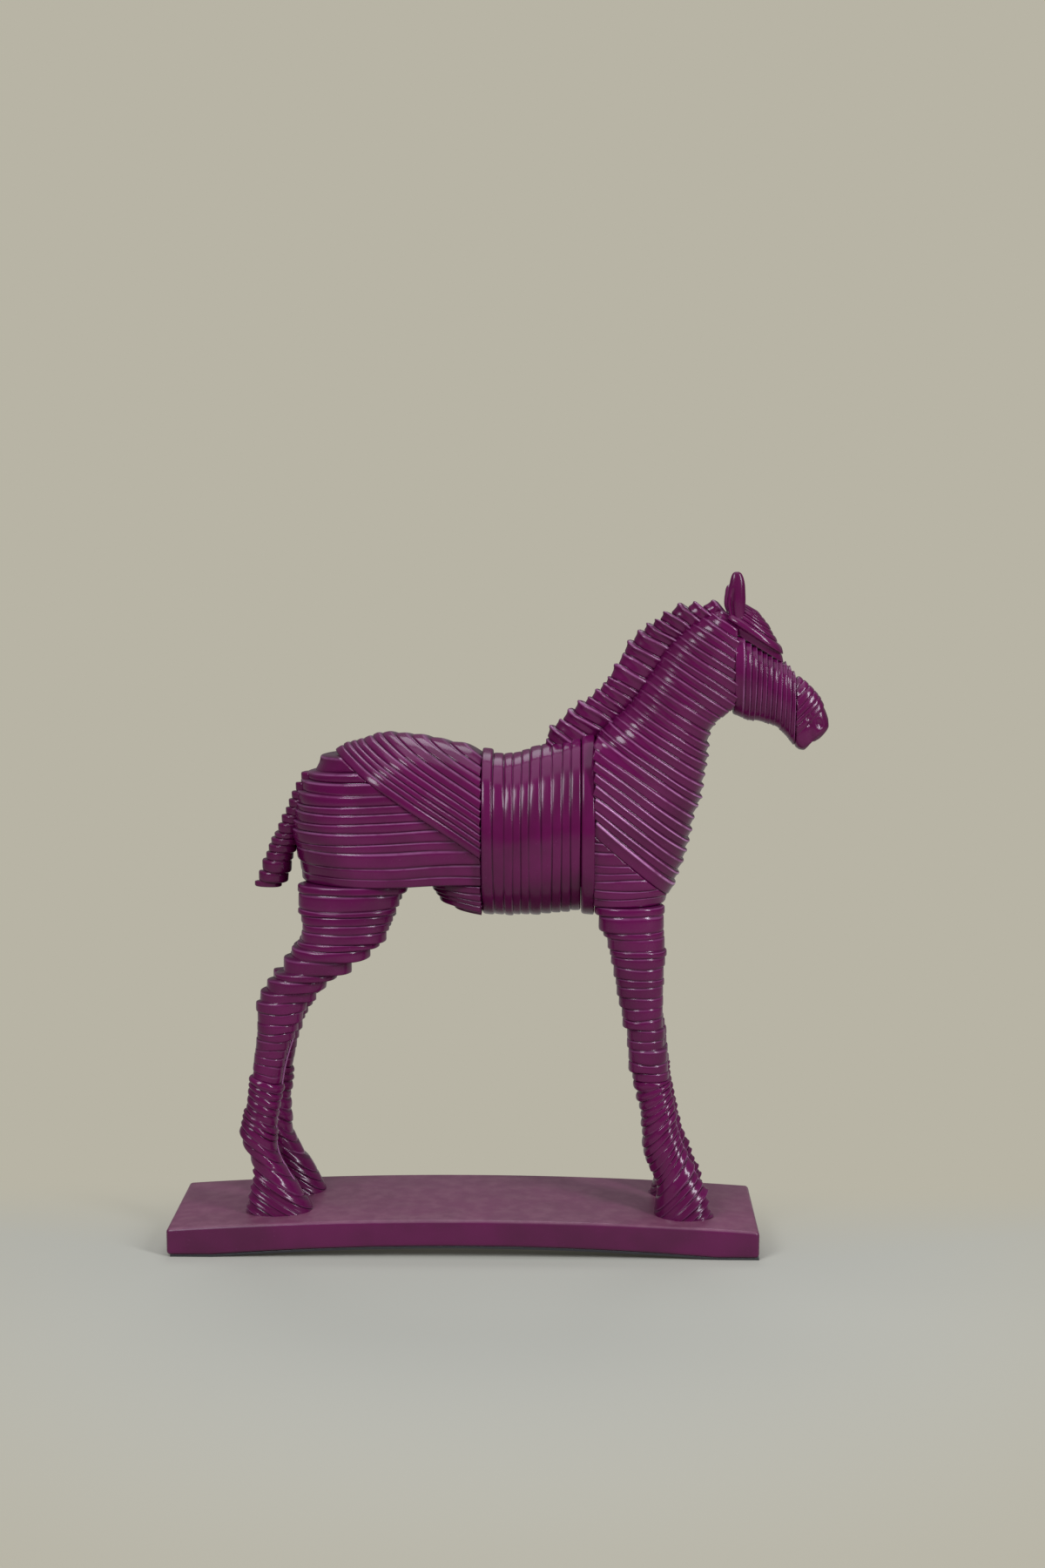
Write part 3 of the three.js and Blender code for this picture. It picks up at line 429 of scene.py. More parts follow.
def wound(name, rows, strips, around, depth=1.1, section="ledge", end_section=None, terrace=0.5,
          wobble=0.1, spread=0.22, widths=None, proud=None, uneven=0.3, shift=0, fade=0,
          crest=None, flanks=0, dents=(), cut=None, material=PAINT):
    """A winding of strips round the form that the rows give, as one closed piece.

    rows: back and front point, seven half widths and, for a leg, how far it is from the middle.
    around: how many steps there are on each side of the form.
    depth, section: how far the strips stand out, and in what shape. A pair, or an end section,
    gives the first strip and the last.
    terrace: how far each strip keeps to one size, so that the next one starts with a step.
    wobble: how far the strips' edges waver. shift: how far whole strips are out of line, in mm.
    widths, spread: the strips' widths, or how much they differ. proud, uneven: the same of depth.
    fade, flanks, crest: how full of paint the grooves are in places, on the sides, and beside the
    back beyond a share of the winding, as far round as an angle.
    dents: pits in the surface, each with its place, reach and depth.
    cut: a point and a direction, beyond which the piece is cut off.
    """
    rows = np.array([list(r[:4]) + [r[5] if len(r) > 5 else 0] + list(r[4]) for r in rows], float)
    draw = random.Random(name)
    widths = np.array(widths or strip_widths(name, strips, spread))
    edges = np.concatenate([[0], np.cumsum(widths)]) / widths.sum()
    middles = (edges[:-1] + edges[1:]) / 2
    shares, places = evenly(rows)

    half_turn = np.linspace(0, np.pi, around + 1)
    turn = np.concatenate([half_turn, half_turn[::-1]])
    sign = np.concatenate([np.ones(around + 1), -np.ones(around + 1)])
    angle = np.concatenate([half_turn, 2 * np.pi - half_turn[::-1]])

    # Each line round the form belongs to a strip, at a share of its width.
    band = np.append(np.repeat(np.arange(strips), len(FRACTIONS)), strips - 1)
    fraction = np.append(np.tile(FRACTIONS, strips), 1.0)
    waver = wavering_edges(draw, widths, angle, wobble)
    low = edges[band][:, None] + waver[band]
    high = edges[band + 1][:, None] + waver[band + 1]
    t = np.interp(low + (high - low) * fraction[:, None], shares, places)
    t_middle = np.interp(middles[band], shares, places)[:, None]
    filled = filled_grooves(draw, edges, turn, angle, fade, flanks, crest)
    fill = filled[band] + (filled[band + 1] - filled[band]) * fraction[:, None]

    # The form under the strips, which takes its size from the strip's middle where it is terraced.
    here = smooth(rows[:, :4], t)
    form = smooth(rows, t + (t_middle - t) * terrace * (1 - 0.7 * fill))
    back, front, depth_middle, halves = np.split(form, [2, 4, 5], axis=-1)
    halves = np.maximum(halves, 0)
    length = np.linalg.norm(front - back, axis=-1)
    along = (front - back) / length[..., None]
    across = np.stack([-along[..., 1], along[..., 0]], -1)
    middle_here = (here[..., 0:2] + here[..., 2:4]) / 2
    slip = ((middle_here - (back + front) / 2) * across).sum(-1)

    blunt_back, blunt_front = halves[..., 0] > BLUNT, halves[..., 6] > BLUNT
    at_back, at_front = turn < 1e-9, turn > np.pi - 1e-9
    closed = (at_back & ~blunt_back) | (at_front & ~blunt_front)
    s = length * (1 - np.cos(turn)) / 2
    w = np.where(closed, 0, half_widths(halves, turn)) * sign

    # Which way is out of the form, in the strip's own plane.
    out_s = np.roll(w, 1, 1) - np.roll(w, -1, 1)
    out_w = np.roll(s, -1, 1) - np.roll(s, 1, 1)
    size = np.maximum(np.hypot(out_s, out_w), 1e-9)
    tip = (w == 0) & (at_back | at_front)
    out_s = np.where(tip, np.where(at_back, -1.0, 1.0), out_s / size)
    out_w = np.where(tip, 0.0, out_w / size)

    first, last = (np.interp(fraction, np.append(FRACTIONS, 1), SECTIONS[shape] + [0])
                   for shape in (section, end_section or section))
    height = (first + (last - first) * middles[band])[:, None]
    deep = np.interp(middles, [0, 1], pair(depth))
    deep *= np.array(proud or [1 + uneven * draw.uniform(-1, 1) for _ in range(strips)])
    grow = np.maximum(height, FILLED_HEIGHT) * fill + height * (1 - fill)
    grow = grow * deep[band][:, None] * (1 + 0.12 * np.sin(2 * angle + band[:, None] * 1.7))
    s, w = s + grow * out_s, w + grow * out_w
    s = np.where(blunt_back, np.maximum(s, 0), s)
    s = np.where(blunt_front, np.minimum(s, length), s)

    moved = np.array([[draw.uniform(-1, 1), draw.uniform(-1, 1) / 2] for _ in range(strips)])
    moved = (moved * np.linspace(*pair(shift), strips)[:, None])[band]
    flat = back + along * (s + moved[:, :1])[..., None] + across * slip[..., None]
    side = depth_middle[..., 0] - w + moved[:, 1:]
    for x, z, reach, deepness in dents:
        away = np.hypot(flat[..., 0] - x, flat[..., 1] - z) / reach
        sunk = deepness * np.exp(-away ** 2) * np.clip(np.abs(side) / 3, 0, 1)
        side = side - np.sign(side) * sunk

    points = np.stack([flat[..., 0], side, flat[..., 1]], -1)
    points, relief = (np.concatenate([a, a[:, :1]], 1) for a in (points, 1 - fill))
    round_share = np.append(angle / (2 * np.pi), 1.0)
    bm = closed_skin(points, relief, round_share, band + fraction)
    if cut:
        point, normal = cut
        everything = list(bm.verts) + list(bm.edges) + list(bm.faces)
        bmesh.ops.bisect_plane(bm, geom=everything, plane_co=at(*point), plane_no=normal,
                               clear_outer=True)
        bmesh.ops.holes_fill(bm, edges=open_edges(bm), sides=0)
    bmesh.ops.recalc_face_normals(bm, faces=bm.faces)
    finish_piece(name, bm, [name], material, sharp=180)


# Body, in chords that lie as the strips do. Several windings end at the same place along it.
GIRTH_BACK = 10.7
CHEST = 75.3
CHEEK = 156.4
OVER_CROUP = ((-74, 0, 267), (58.5, 0, 84.7))
OVER_NECK = ((75.3, 0, 222), (39, 0, 43.7))
wound("haunch_winding", [
    (-93.5, 192.3, GIRTH_BACK, 192.3, [0, 18.5, 32, 34.8, 28, 26, 27]),
    (-93.9, 198, GIRTH_BACK, 198.6, [0, 19, 33, 35.8, 28.5, 27.5, 28.6]),
    (-95.4, 204, GIRTH_BACK, 205.5, [0, 19.5, 34, 36.5, 29.5, 29.5, 30.5]),
    (-97.5, 212, GIRTH_BACK, 214.5, [0, 20, 34.5, 37, 30.5, 31, 32]),
    (-98.5, 222, GIRTH_BACK, 225.5, [0, 20, 34.5, 37, 31.5, 31.8, 32.8]),
    (-97, 234, GIRTH_BACK, 238, [0, 19.5, 34, 36.5, 32, 32, 32.6]),
    (-94.5, 244, GIRTH_BACK, 248, [0, 18.5, 32.5, 35, 31.5, 31, 31]),
    (-90.5, 252, GIRTH_BACK, 256, [0, 17, 30.5, 33, 30, 28.5, 28.3]),
    (-84.8, 258.7, GIRTH_BACK, 262, [0, 14.5, 27, 29.5, 27, 25.5, 25]),
    (-75.5, 265, GIRTH_BACK, 267, [0, 11, 20, 22, 19, 15, 12]),
], 12, 72, terrace=0.9, wobble=0.12, fade=0.55, cut=OVER_CROUP, material=TOP_EDGE_PAINT)
wound("croup_winding", [
    (-74, 267, GIRTH_BACK, 208.5, [0, 15, 33.5, 36.5, 33.5, 32.8, 32.8]),
    (-65.5, 270.7, GIRTH_BACK, 218.5, [0, 15, 32, 35.5, 33, 32.8, 33]),
    (-55, 274, GIRTH_BACK, 229.5, [0, 14, 28.5, 33, 32.5, 32.5, 33]),
    (-45, 277, GIRTH_BACK, 238, [0, 12.5, 25.5, 30.5, 31, 31.5, 32]),
    (-34, 276.4, GIRTH_BACK, 246, [0, 11, 22, 27, 28.5, 29.5, 30]),
    (-21, 274.8, GIRTH_BACK, 253.5, [0, 9, 17.5, 22.5, 24.5, 25.5, 26]),
    (-8, 272, GIRTH_BACK, 260, [0, 6.5, 12.5, 16.5, 18, 18.8, 19]),
    (4, 269.8, GIRTH_BACK, 265, [0, 3, 5.5, 7.5, 8.5, 9, 9]),
], 11, 64, section="flat", depth=1.6, terrace=0.3, wobble=0.06, uneven=0.25,
      widths=[1.35, 0.85, 0.8, 0.9, 1.15, 0.95, 1.2, 1.25, 1.2, 1.2, 1.2], material=TOP_EDGE_PAINT)
wound("flank_winding", [
    (4, 173.6, GIRTH_BACK, 173, [0, 1.5, 3, 4, 4.5, 5, 5]),
    (-4.5, 176.4, GIRTH_BACK, 174.2, [0, 5, 9, 11.5, 13, 13.5, 14]),
    (-12.5, 181.2, GIRTH_BACK, 177.6, [0, 8, 14, 17.5, 19.5, 20.5, 21]),
    (-16.8, 186.6, GIRTH_BACK, 183.4, [0, 9, 16, 20, 22.5, 23.5, 24]),
    (-19.5, 192.2, GIRTH_BACK, 192.2, [0, 10, 18, 22.5, 25, 26, 27]),
], 5, 40, terrace=1.0, depth=1.2, material=TOP_EDGE_PAINT)
wound("girth_winding", [
    (11, 172.7, 11, 268.3, [0, 17, 30.5, 34.5, 31, 20, 0]),
    (24, 171.8, 24, 264, [0, 17, 31, 35, 31, 20, 0]),
    (40, 172, 40, 268, [0, 17, 31, 35, 31, 19.5, 0]),
    (55, 173, 55, 272.3, [0, 17, 31, 35, 30.5, 19, 0]),
    (67.7, 174.8, 67.7, 276, [0, 17, 30.5, 34, 29, 17, 0]),
], 10, 72, section="soft", terrace=0.6, wobble=0.07, depth=1.0, fade=0.65,
      widths=[8, 7.5, 6.5, 5.5, 6, 8, 7.5, 7, 6.5, 7],
      proud=[1.5, 1, 1.6, 1, 0.9, 1.3, 1.1, 0.9, 1, 0.9], material=GIRTH_PAINT)
wound("girth_strap", [
    (68, 173, 68, 276.6, [0, 17.5, 31.5, 35, 30, 17.5, 0]),
    (75.6, 172.3, 75.6, 277.8, [0, 17.5, 31, 34.5, 29, 16.5, 0]),
], 1, 72, section="strap", terrace=0, proud=[1], depth=1.5)
wound("breast_winding", [
    (CHEST, 180, 115.3, 180, [20, 23, 26.5, 27, 23, 13.5, 0]),
    (CHEST, 189, 120.5, 189, [27, 28, 29, 28, 23.5, 14, 0]),
    (CHEST, 200, 125, 200, [30, 30, 30, 28.5, 24, 14, 0]),
    (CHEST, 212, 128.5, 212, [31.5, 31.5, 30.5, 28.5, 24, 14, 0]),
    (CHEST, 224, 131, 224, [31.5, 31.5, 30.5, 28, 23, 14, 0]),
], 8, 56, terrace=0.9, wobble=0.14, fade=0.5, cut=OVER_NECK, material=TOP_EDGE_PAINT)
wound("neck_winding", [
    (CHEST, 222, 119, 183, [32, 32, 31.5, 29, 24, 14, 0]),
    (CHEST, 240, 125, 200.5, [33, 33, 32, 29.5, 24.5, 14.5, 0]),
    (CHEST, 256.5, 129.5, 214.5, [32, 32, 31, 28.5, 23.5, 14, 0]),
    (CHEST, 271.5, 132.7, 230, [26, 27.5, 28, 26.5, 22, 13.5, 0]),
    (80, 281.5, 136.5, 242, [2, 17, 24, 24.8, 21, 13, 0]),
    (93, 292, 139.5, 262, [0, 12, 19.5, 22, 20, 12.5, 0]),
    (103.5, 306.5, 142.4, 281.2, [0, 10.5, 17.5, 20, 18.5, 12, 0]),
    (113, 321, 154.6, 293.6, [0, 9.5, 15.5, 17.5, 17, 14.6, 10.5]),
    (121, 331.5, CHEEK, 309, [0, 9, 14.5, 16.5, 16, 15, 14]),
    (130, 339, CHEEK, 322.7, [0, 8, 13, 15, 15, 14.2, 13.5]),
    (140, 346, CHEEK, 335.7, [0, 6, 10, 12, 12.5, 12.3, 11.8]),
    (146.5, 349.5, 151, 347, [0, 2, 3.5, 4.5, 4.5, 3.5, 0]),
], 27, 64, section="lip", terrace=0.5, wobble=0.08, depth=1.4, uneven=0.25, fade=0.4,
      crest=(0.42, 1.05),
      widths=[1.6, 0.93, 1.2, 1.05, 1.05, 1.05, 1.1, 1.25, 0.8, 1.1, 1, 0.93, 0.95, 1, 1.05, 1.2,
              0.9, 1.1, 1, 0.8, 1.2, 0.9, 1, 0.9, 1.1, 0.9, 0.8], material=LIP_PAINT)
wound("mane_winding", [
    (47, 268, 67, 256, oval(6.5)),
    (53, 281, 76, 266, oval(7)),
    (63, 289.8, 85, 277, oval(7)),
    (76.5, 300.3, 95, 289, oval(7)),
    (86.3, 311, 105, 300, oval(6.8)),
    (92.3, 322.5, 113, 312, oval(6.5)),
    (99.8, 332.8, 119, 322.5, oval(6.2)),
    (110.5, 341, 127, 331, oval(5.8)),
    (124, 349.3, 136, 339, oval(5.4)),
    (136, 351.2, 144, 343, oval(5)),
    (147, 351.6, 150, 347.5, oval(3.5)),
], 19, 32, section="lip", terrace=0.6, wobble=0.12, spread=0.3, uneven=0.5, depth=2.0,
      material=FAINT_LIP_PAINT)
wound("tail_winding", [
    (-121.5, 187.2, -109, 186.9, oval(3)),
    (-121, 190.5, -105.5, 190, oval(5.8)),
    (-117.3, 195, -103, 194.5, oval(7)),
    (-115.7, 202, -101.3, 201.8, oval(7.8)),
    (-111.6, 212, -98.3, 211.8, oval(8)),
    (-107.3, 221, -96.5, 221, oval(7.3)),
    (-103.5, 230, -93.5, 230, oval(6.4)),
    (-99.3, 239, -90, 239, oval(5.6)),
    (-96, 247, -86, 247, oval(5)),
    (-90.5, 254.5, -82, 254.5, oval(4.2)),
], 14, 24, terrace=1.0, wobble=0.08, depth=1.2, uneven=0.4)

# Head
wound("brow_winding", [
    (150.5, 338.5, 184, 317.9, [6, 8.5, 10.5, 10.8, 9.5, 6, 0]),
    (150.8, 342.8, 182.4, 322.5, [6, 9, 11, 11.5, 10, 6.5, 0]),
    (151, 344.5, 181.6, 324.4, [6, 10, 12.8, 13.3, 11.8, 7.8, 0]),
    (153, 348.7, 179, 331.3, [0, 7, 10.8, 11.8, 10.3, 6.8, 0]),
    (157, 351.3, 173.6, 341, [0, 4.5, 7.5, 8.5, 7.5, 4.8, 0]),
    (161, 352, 168, 348, [0, 1.5, 2.5, 3, 2.5, 1.5, 0]),
], 7, 44, section="flat", depth=1.3, terrace=0.2, wobble=0.05,
      widths=[4.2, 5.0, 2.6, 1.5, 2.3, 1.3, 1.6], proud=[0.1, 1.8, 0.9, 0.5, 0.8, 0.4, 0.5])
wound("cheek_winding", [
    (155, 289.4, 155, 335.3, [0, 8, 14, 16, 15.5, 13, 11.5]),
    (163, 286.2, 163.5, 330, [0, 7.5, 13.5, 15.5, 15, 11.5, 7.5]),
    (171, 285, 172, 324.8, [0, 7, 12.5, 14.5, 14, 10, 6]),
    (178, 283, 179, 320.5, [0, 6.5, 11.5, 13, 12, 8.5, 5]),
    (184.5, 278.4, 185.3, 316.8, [0, 6.5, 10.5, 12, 11, 7, 0]),
    (190.1, 271.2, 190.3, 311, [0, 7, 10, 11, 10, 7, 0]),
], 11, 44, section="lip", terrace=0.5, wobble=0.05, depth=1.1, uneven=0.3, fade=0.45,
      crest=(0, 1.1), widths=[2.1, 1.15, 1.1, 1, 1, 1, 1, 1, 0.95, 0.9, 0.9],
      material=FAINT_LIP_PAINT)
NOSTRIL = (203.7, 283.7, 1.4, 1.7)
NOSE_CREASE = ((198, 287.2, 1.5, 1), (198.5, 283.7, 1.4, 1.3), (199.1, 280.2, 1.4, 1.4),
               (199.5, 276.8, 1.4, 1.5), (199.7, 274.2, 1.3, 1.5))
wound("muzzle_winding", [
    (190.4, 308.6, 192, 310.1, [3, 3, 2.8, 2.4, 1.8, 1, 0]),
    (190.4, 304, 194.8, 307.9, [7.2, 6.9, 6.4, 5.7, 4.7, 3.2, 0]),
    (190.4, 298.5, 197.6, 305.4, [9.8, 9.4, 8.8, 8, 6.8, 4.8, 0]),
    (190.4, 292.5, 200.8, 302.4, [10.8, 10.4, 10, 9.2, 7.9, 5.7, 0]),
    (190.4, 287, 203.4, 299.5, [10.6, 10.5, 10.2, 9.5, 8.2, 6, 0]),
    (190.4, 281.5, 205.5, 296.4, [9.2, 9.9, 10, 9.5, 8.2, 6, 0]),
    (190.4, 276.5, 207.3, 292.8, [6.5, 8.8, 9.6, 9.4, 8.2, 6, 0]),
    (190.6, 271.2, 208.6, 289.3, [1, 7.3, 9, 9.2, 8.2, 6, 0]),
    (193.2, 268.4, 209.2, 286.8, [0, 6, 8, 8.6, 7.8, 5.6, 0]),
    (197, 268.6, 209.5, 285.2, [0, 5, 7.4, 8.2, 7.4, 5.2, 0]),
    (198.8, 272.8, 209.5, 283.4, [0, 4.4, 6.6, 7.4, 6.8, 4.6, 0]),
    (202.4, 273.6, 209.3, 281.4, [0, 3.8, 5.4, 6, 5.4, 3.8, 0]),
    (205.9, 276.2, 208.5, 279.2, [0, 2.2, 3.2, 3.6, 3.2, 2.2, 0]),
], 7, 44, section="flat", terrace=0.15, depth=0.9, wobble=0.04, dents=(NOSTRIL, *NOSE_CREASE),
      widths=[3.4, 4, 4.1, 3.6, 2.5, 3.4, 11], proud=[0.9, 1, 1, 0.9, 0.8, 0.5, 0.3])

# Legs. After the two points of a station come the half width, the share of the leg's distance from
# the middle of the foal, and the share of the step that the left leg takes ahead of the right one.
HIND_UPPER = [
    (-93.2, 192.2, -31.3, 192.2, 16.5, 0.95, 0), (-93.3, 186, -35.3, 186, 16.4, 0.95, 0),
    (-93.5, 179, -38.5, 179, 16.3, 0.95, 0), (-92.3, 168, -43.5, 168, 16, 0.96, 0.05),
    (-94.6, 158, -48.3, 158, 15.5, 0.97, 0.1), (-101.6, 148, -60.8, 148, 14.5, 0.98, 0.2),
    (-107.5, 138.5, -73.2, 138.5, 13, 0.99, 0.3), (-116.5, 128.5, -84, 128.5, 11.5, 1, 0.35),
    (-119.2, 119.5, -91.2, 119.5, 11, 1, 0.3), (-119.3, 103, -98.7, 103, 9.7, 1, 0.25),
    (-121.3, 90, -103.4, 88.5, 9, 1, 0.4), (-122.3, 79, -106, 74, 8.6, 1, 0.4),
]
HIND_LOWER = [
    (-122.3, 79, -106, 74, 8.6, 1, 0.4), (-124.3, 69.5, -107.8, 62, 8.6, 1, 0.45),
    (-125.8, 58, -110, 47.5, 9.2, 1, 0.8), (-128.8, 48.5, -109.3, 33.5, 9.8, 1, 1),
    (-127.8, 39, -104.3, 23, 9.4, 1, 1.1), (-124, 30.5, -97.6, 12.8, 9.2, 1, 1.1),
    (-121.4, 22.5, -91.6, 2.8, 9.8, 1, 0.9), (-122.7, 14, -88, -6.5, 10.6, 1, 0.8),
    (-125.3, 5, -86, -15, 11.3, 1, 0.8), (-126.3, -6, -85, -24, 11.5, 1, 0.8),
]
FORE_UPPER = [
    (75.8, 179.7, 115.2, 179.7, 14, 0.8, 0), (78.6, 172, 114.6, 172, 13.5, 0.82, 0),
    (82, 163, 115.8, 163, 13, 0.85, 0), (85.2, 152.5, 115.8, 152.5, 12.5, 0.88, 0),
    (87.6, 140, 115.3, 140, 11.8, 0.92, 0), (89.8, 128, 115, 128, 11.2, 0.95, 0),
    (92.5, 116, 114.3, 116, 10.6, 0.97, -0.3), (95, 104.5, 115.6, 104.5, 10.3, 1, -0.6),
    (95.8, 93, 117, 93, 10.4, 1, -0.7), (96.9, 86, 118, 86, 10.3, 1, -0.7),
    (99.3, 78, 117.8, 78, 9.3, 1, -0.7),
]
FORE_LOWER = [
    (99.3, 78, 117.8, 78, 9.3, 1, -0.7), (102.1, 68.5, 118.2, 76, 8.8, 1, -0.7),
    (104.2, 56.5, 120, 68, 8.8, 1, -0.6), (105.1, 44.5, 121.9, 59.5, 9.2, 1, -0.4),
    (106, 33.5, 123, 51, 9.8, 1, -0.6), (110.2, 23.5, 125, 43.5, 9.6, 1, -0.6),
    (113.3, 14, 127.8, 36, 9.4, 1, -0.4), (112.8, 4.5, 131.4, 28, 10, 1, 0),
    (111.2, -6, 136, 19, 11, 1, 0.4), (109.8, -17, 140.5, 9, 11.8, 1, 0.7),
    (109, -31, 143.9, -9, 12, 1, 0.7),
]
HIND_SPREAD, FORE_SPREAD = 19, 20      # from the middle of the foal to the middle of a leg
SIDES = (("right", -1, 0, 0), ("left", 1, 5, -2.5))    # side, and the hind and the fore leg's step
UNDER_TOP = ((0, 0, -5.5), (0, 0, -1))


def leg_rows(rows, side, spread, step):
    """A leg's stations on one side."""
    return [(bx + share * step, bz, fx + share * step, fz, oval(half), side * spread * inward)
            for bx, bz, fx, fz, half, inward, share in rows]


for name, side, hind_step, fore_step in SIDES:
    wound("hind_upper_" + name, leg_rows(HIND_UPPER, side, HIND_SPREAD, hind_step), 21, 40,
          terrace=1.0, wobble=0.14, uneven=0.5, shift=(1.0, 0.15), fade=(0.3, 1),
          depth=(1.3, 0.22), spread=0.25, material=LEG_PAINT)
    wound("hind_lower_" + name, leg_rows(HIND_LOWER, side, HIND_SPREAD, hind_step), 17, 44,
          section="rope", end_section="lip", terrace=0.3, spread=0.14, wobble=0.1, uneven=0.35,
          fade=0.15, flanks=0.75, depth=(1.7, 2.5), cut=UNDER_TOP, material=FAINT_LIP_PAINT)
    wound("fore_upper_" + name, leg_rows(FORE_UPPER, side, FORE_SPREAD, fore_step), 17, 40,
          terrace=1.0, wobble=0.1, uneven=0.6, shift=0.6, fade=(0.5, 0.8), depth=(0.9, 0.7),
          material=LEG_PAINT)
    wound("fore_lower_" + name, leg_rows(FORE_LOWER, side, FORE_SPREAD, fore_step), 20, 44,
          section="rope", end_section="lip", terrace=0.25, spread=0.14, wobble=0.08, uneven=0.35,
          fade=0.15, flanks=0.8, depth=(1.9, 2.2), cut=UNDER_TOP, material=FAINT_LIP_PAINT)

SEAM_RADIUS = 0.0005    # metres
POOL_HEIGHT, POOL_SUNK = 1.5, 0.3


def mould_seam(name, stations, spread, proud):
    """The fine raised line that the mould left down the front of a right leg."""
    line = bpy.data.curves.new(name, "CURVE")
    line.dimensions = "3D"
    line.bevel_depth = SEAM_RADIUS
    line.bevel_resolution = 3
    line.use_fill_caps = True
    spline = line.splines.new("NURBS")
    spline.points.add(len(stations) - 1)
    draw = random.Random(name)
    for point, (_, _, fx, fz, _, inward, _) in zip(spline.points, stations):
        ahead = fx + proud + draw.uniform(-0.3, 0.2)
        point.co = (*at(ahead, -(spread * inward + draw.uniform(0, 0.6)), fz), 1)
    spline.order_u = 3
    spline.use_endpoint_u = True
    mesh = bpy.data.meshes.new_from_object(bpy.data.objects.new(name, line))
    bm = bmesh.new()
    bm.from_mesh(mesh)
    bmesh.ops.recalc_face_normals(bm, faces=bm.faces)
    finish_piece(name, bm, [], SEAM_PAINT)


def paint_pool(name, x, y, half_length, half_width):
    """A low rounded pool of paint between a foot and the slab."""
    slab_drop = SLAB_BOW * (2 * x / SLAB_LENGTH) ** 2
    bm = bmesh.new()
    bmesh.ops.create_uvsphere(bm, u_segments=48, v_segments=16, radius=1)
    for vert in bm.verts:
        wave = 1 + 0.03 * math.sin(3 * math.atan2(vert.co.y, vert.co.x) + x)
        vert.co = at(x + vert.co.x * half_length * wave, y + vert.co.y * half_width * wave,
                     vert.co.z * POOL_HEIGHT - POOL_SUNK - slab_drop)
    finish_piece(name, bm, [])


for name, side, hind_step, fore_step in SIDES:
    paint_pool("hind_pool_" + name, -107 + hind_step, side * HIND_SPREAD, 21, 12.5)
    paint_pool("fore_pool_" + name, 127 + 1.5 * fore_step, side * FORE_SPREAD, 18.5, 13.5)
mould_seam("hind_seam_right", (HIND_UPPER + HIND_LOWER[1:])[9:17], HIND_SPREAD, 0.4)
mould_seam("fore_seam_right", (FORE_UPPER + FORE_LOWER[1:])[14:20], FORE_SPREAD, 0.5)

# An ear's height levels: how far back and ahead it reaches, its height, and its half thickness.
EAR_LEVELS = [
    (-2.8, 3.1, -4.1, 2), (-4.1, 4.1, 0, 2.6), (-5.6, 5, 8, 3.3), (-5, 5, 14, 3.2),
    (-4, 4.8, 18.5, 2.8), (-3.2, 4.1, 22, 2.3), (-2.2, 3, 24.5, 1.5), (-0.9, 1.5, 25.6, 0.6),
]
EAR_SEAT = (156, 9.5, 345)
EAR_STEPS_UP, EAR_STEPS_ROUND = 24, 44
HOLLOW_SHARE, HOLLOW_TOP = 0.26, 17    # where across the leaf its hollow runs, and how high it goes


def ear(name, side, lean, back, scale):
    """A smooth leaf with a hollow on its outer face, leaning out and back by angles."""
    rows = np.array([[b * scale, z * scale, f * scale, z * scale] + [h * scale for h in oval(half)]
                     for b, f, z, half in EAR_LEVELS])
    x, y, z = EAR_SEAT
    place = (Matrix.Translation((x, side * y, z)) @ Matrix.Rotation(-side * lean, 4, "X")
             @ Matrix.Rotation(-back, 4, "Y"))
    bm = bmesh.new()
    bmesh.ops.create_grid(bm, x_segments=EAR_STEPS_ROUND, y_segments=EAR_STEPS_UP, size=1)
    for index, vert in enumerate(bm.verts):
        level, column = divmod(index, EAR_STEPS_ROUND + 1)
        row = smooth(rows, np.array(level / EAR_STEPS_UP))
        turn = 2 * math.pi * column / EAR_STEPS_ROUND
        share = (1 - math.cos(turn)) / 2
        half = np.interp(abs(math.pi - turn) / math.pi * 6, range(7), row[4:])
        x = row[0] + (row[2] - row[0]) * share
        y = math.copysign(half, math.sin(turn)) if 0 < column < EAR_STEPS_ROUND else 0
        if y * side > 0:
            fading = max(1 - (row[1] / (HOLLOW_TOP * scale)) ** 4, 0)
            y *= 1 - 0.75 * math.exp(-((share - HOLLOW_SHARE) / 0.1) ** 2) * fading
        vert.co = at(*(place @ Vector((x, y, row[1]))))
    bmesh.ops.remove_doubles(bm, verts=bm.verts, dist=1e-6)
    bmesh.ops.holes_fill(bm, edges=open_edges(bm), sides=0)
    bmesh.ops.recalc_face_normals(bm, faces=bm.faces)
    finish_piece(name, bm, [name])


ear("ear_right", -1, 0.05, 0.03, 1)
ear("ear_left", 1, 0.8, 0.08, 0.9)


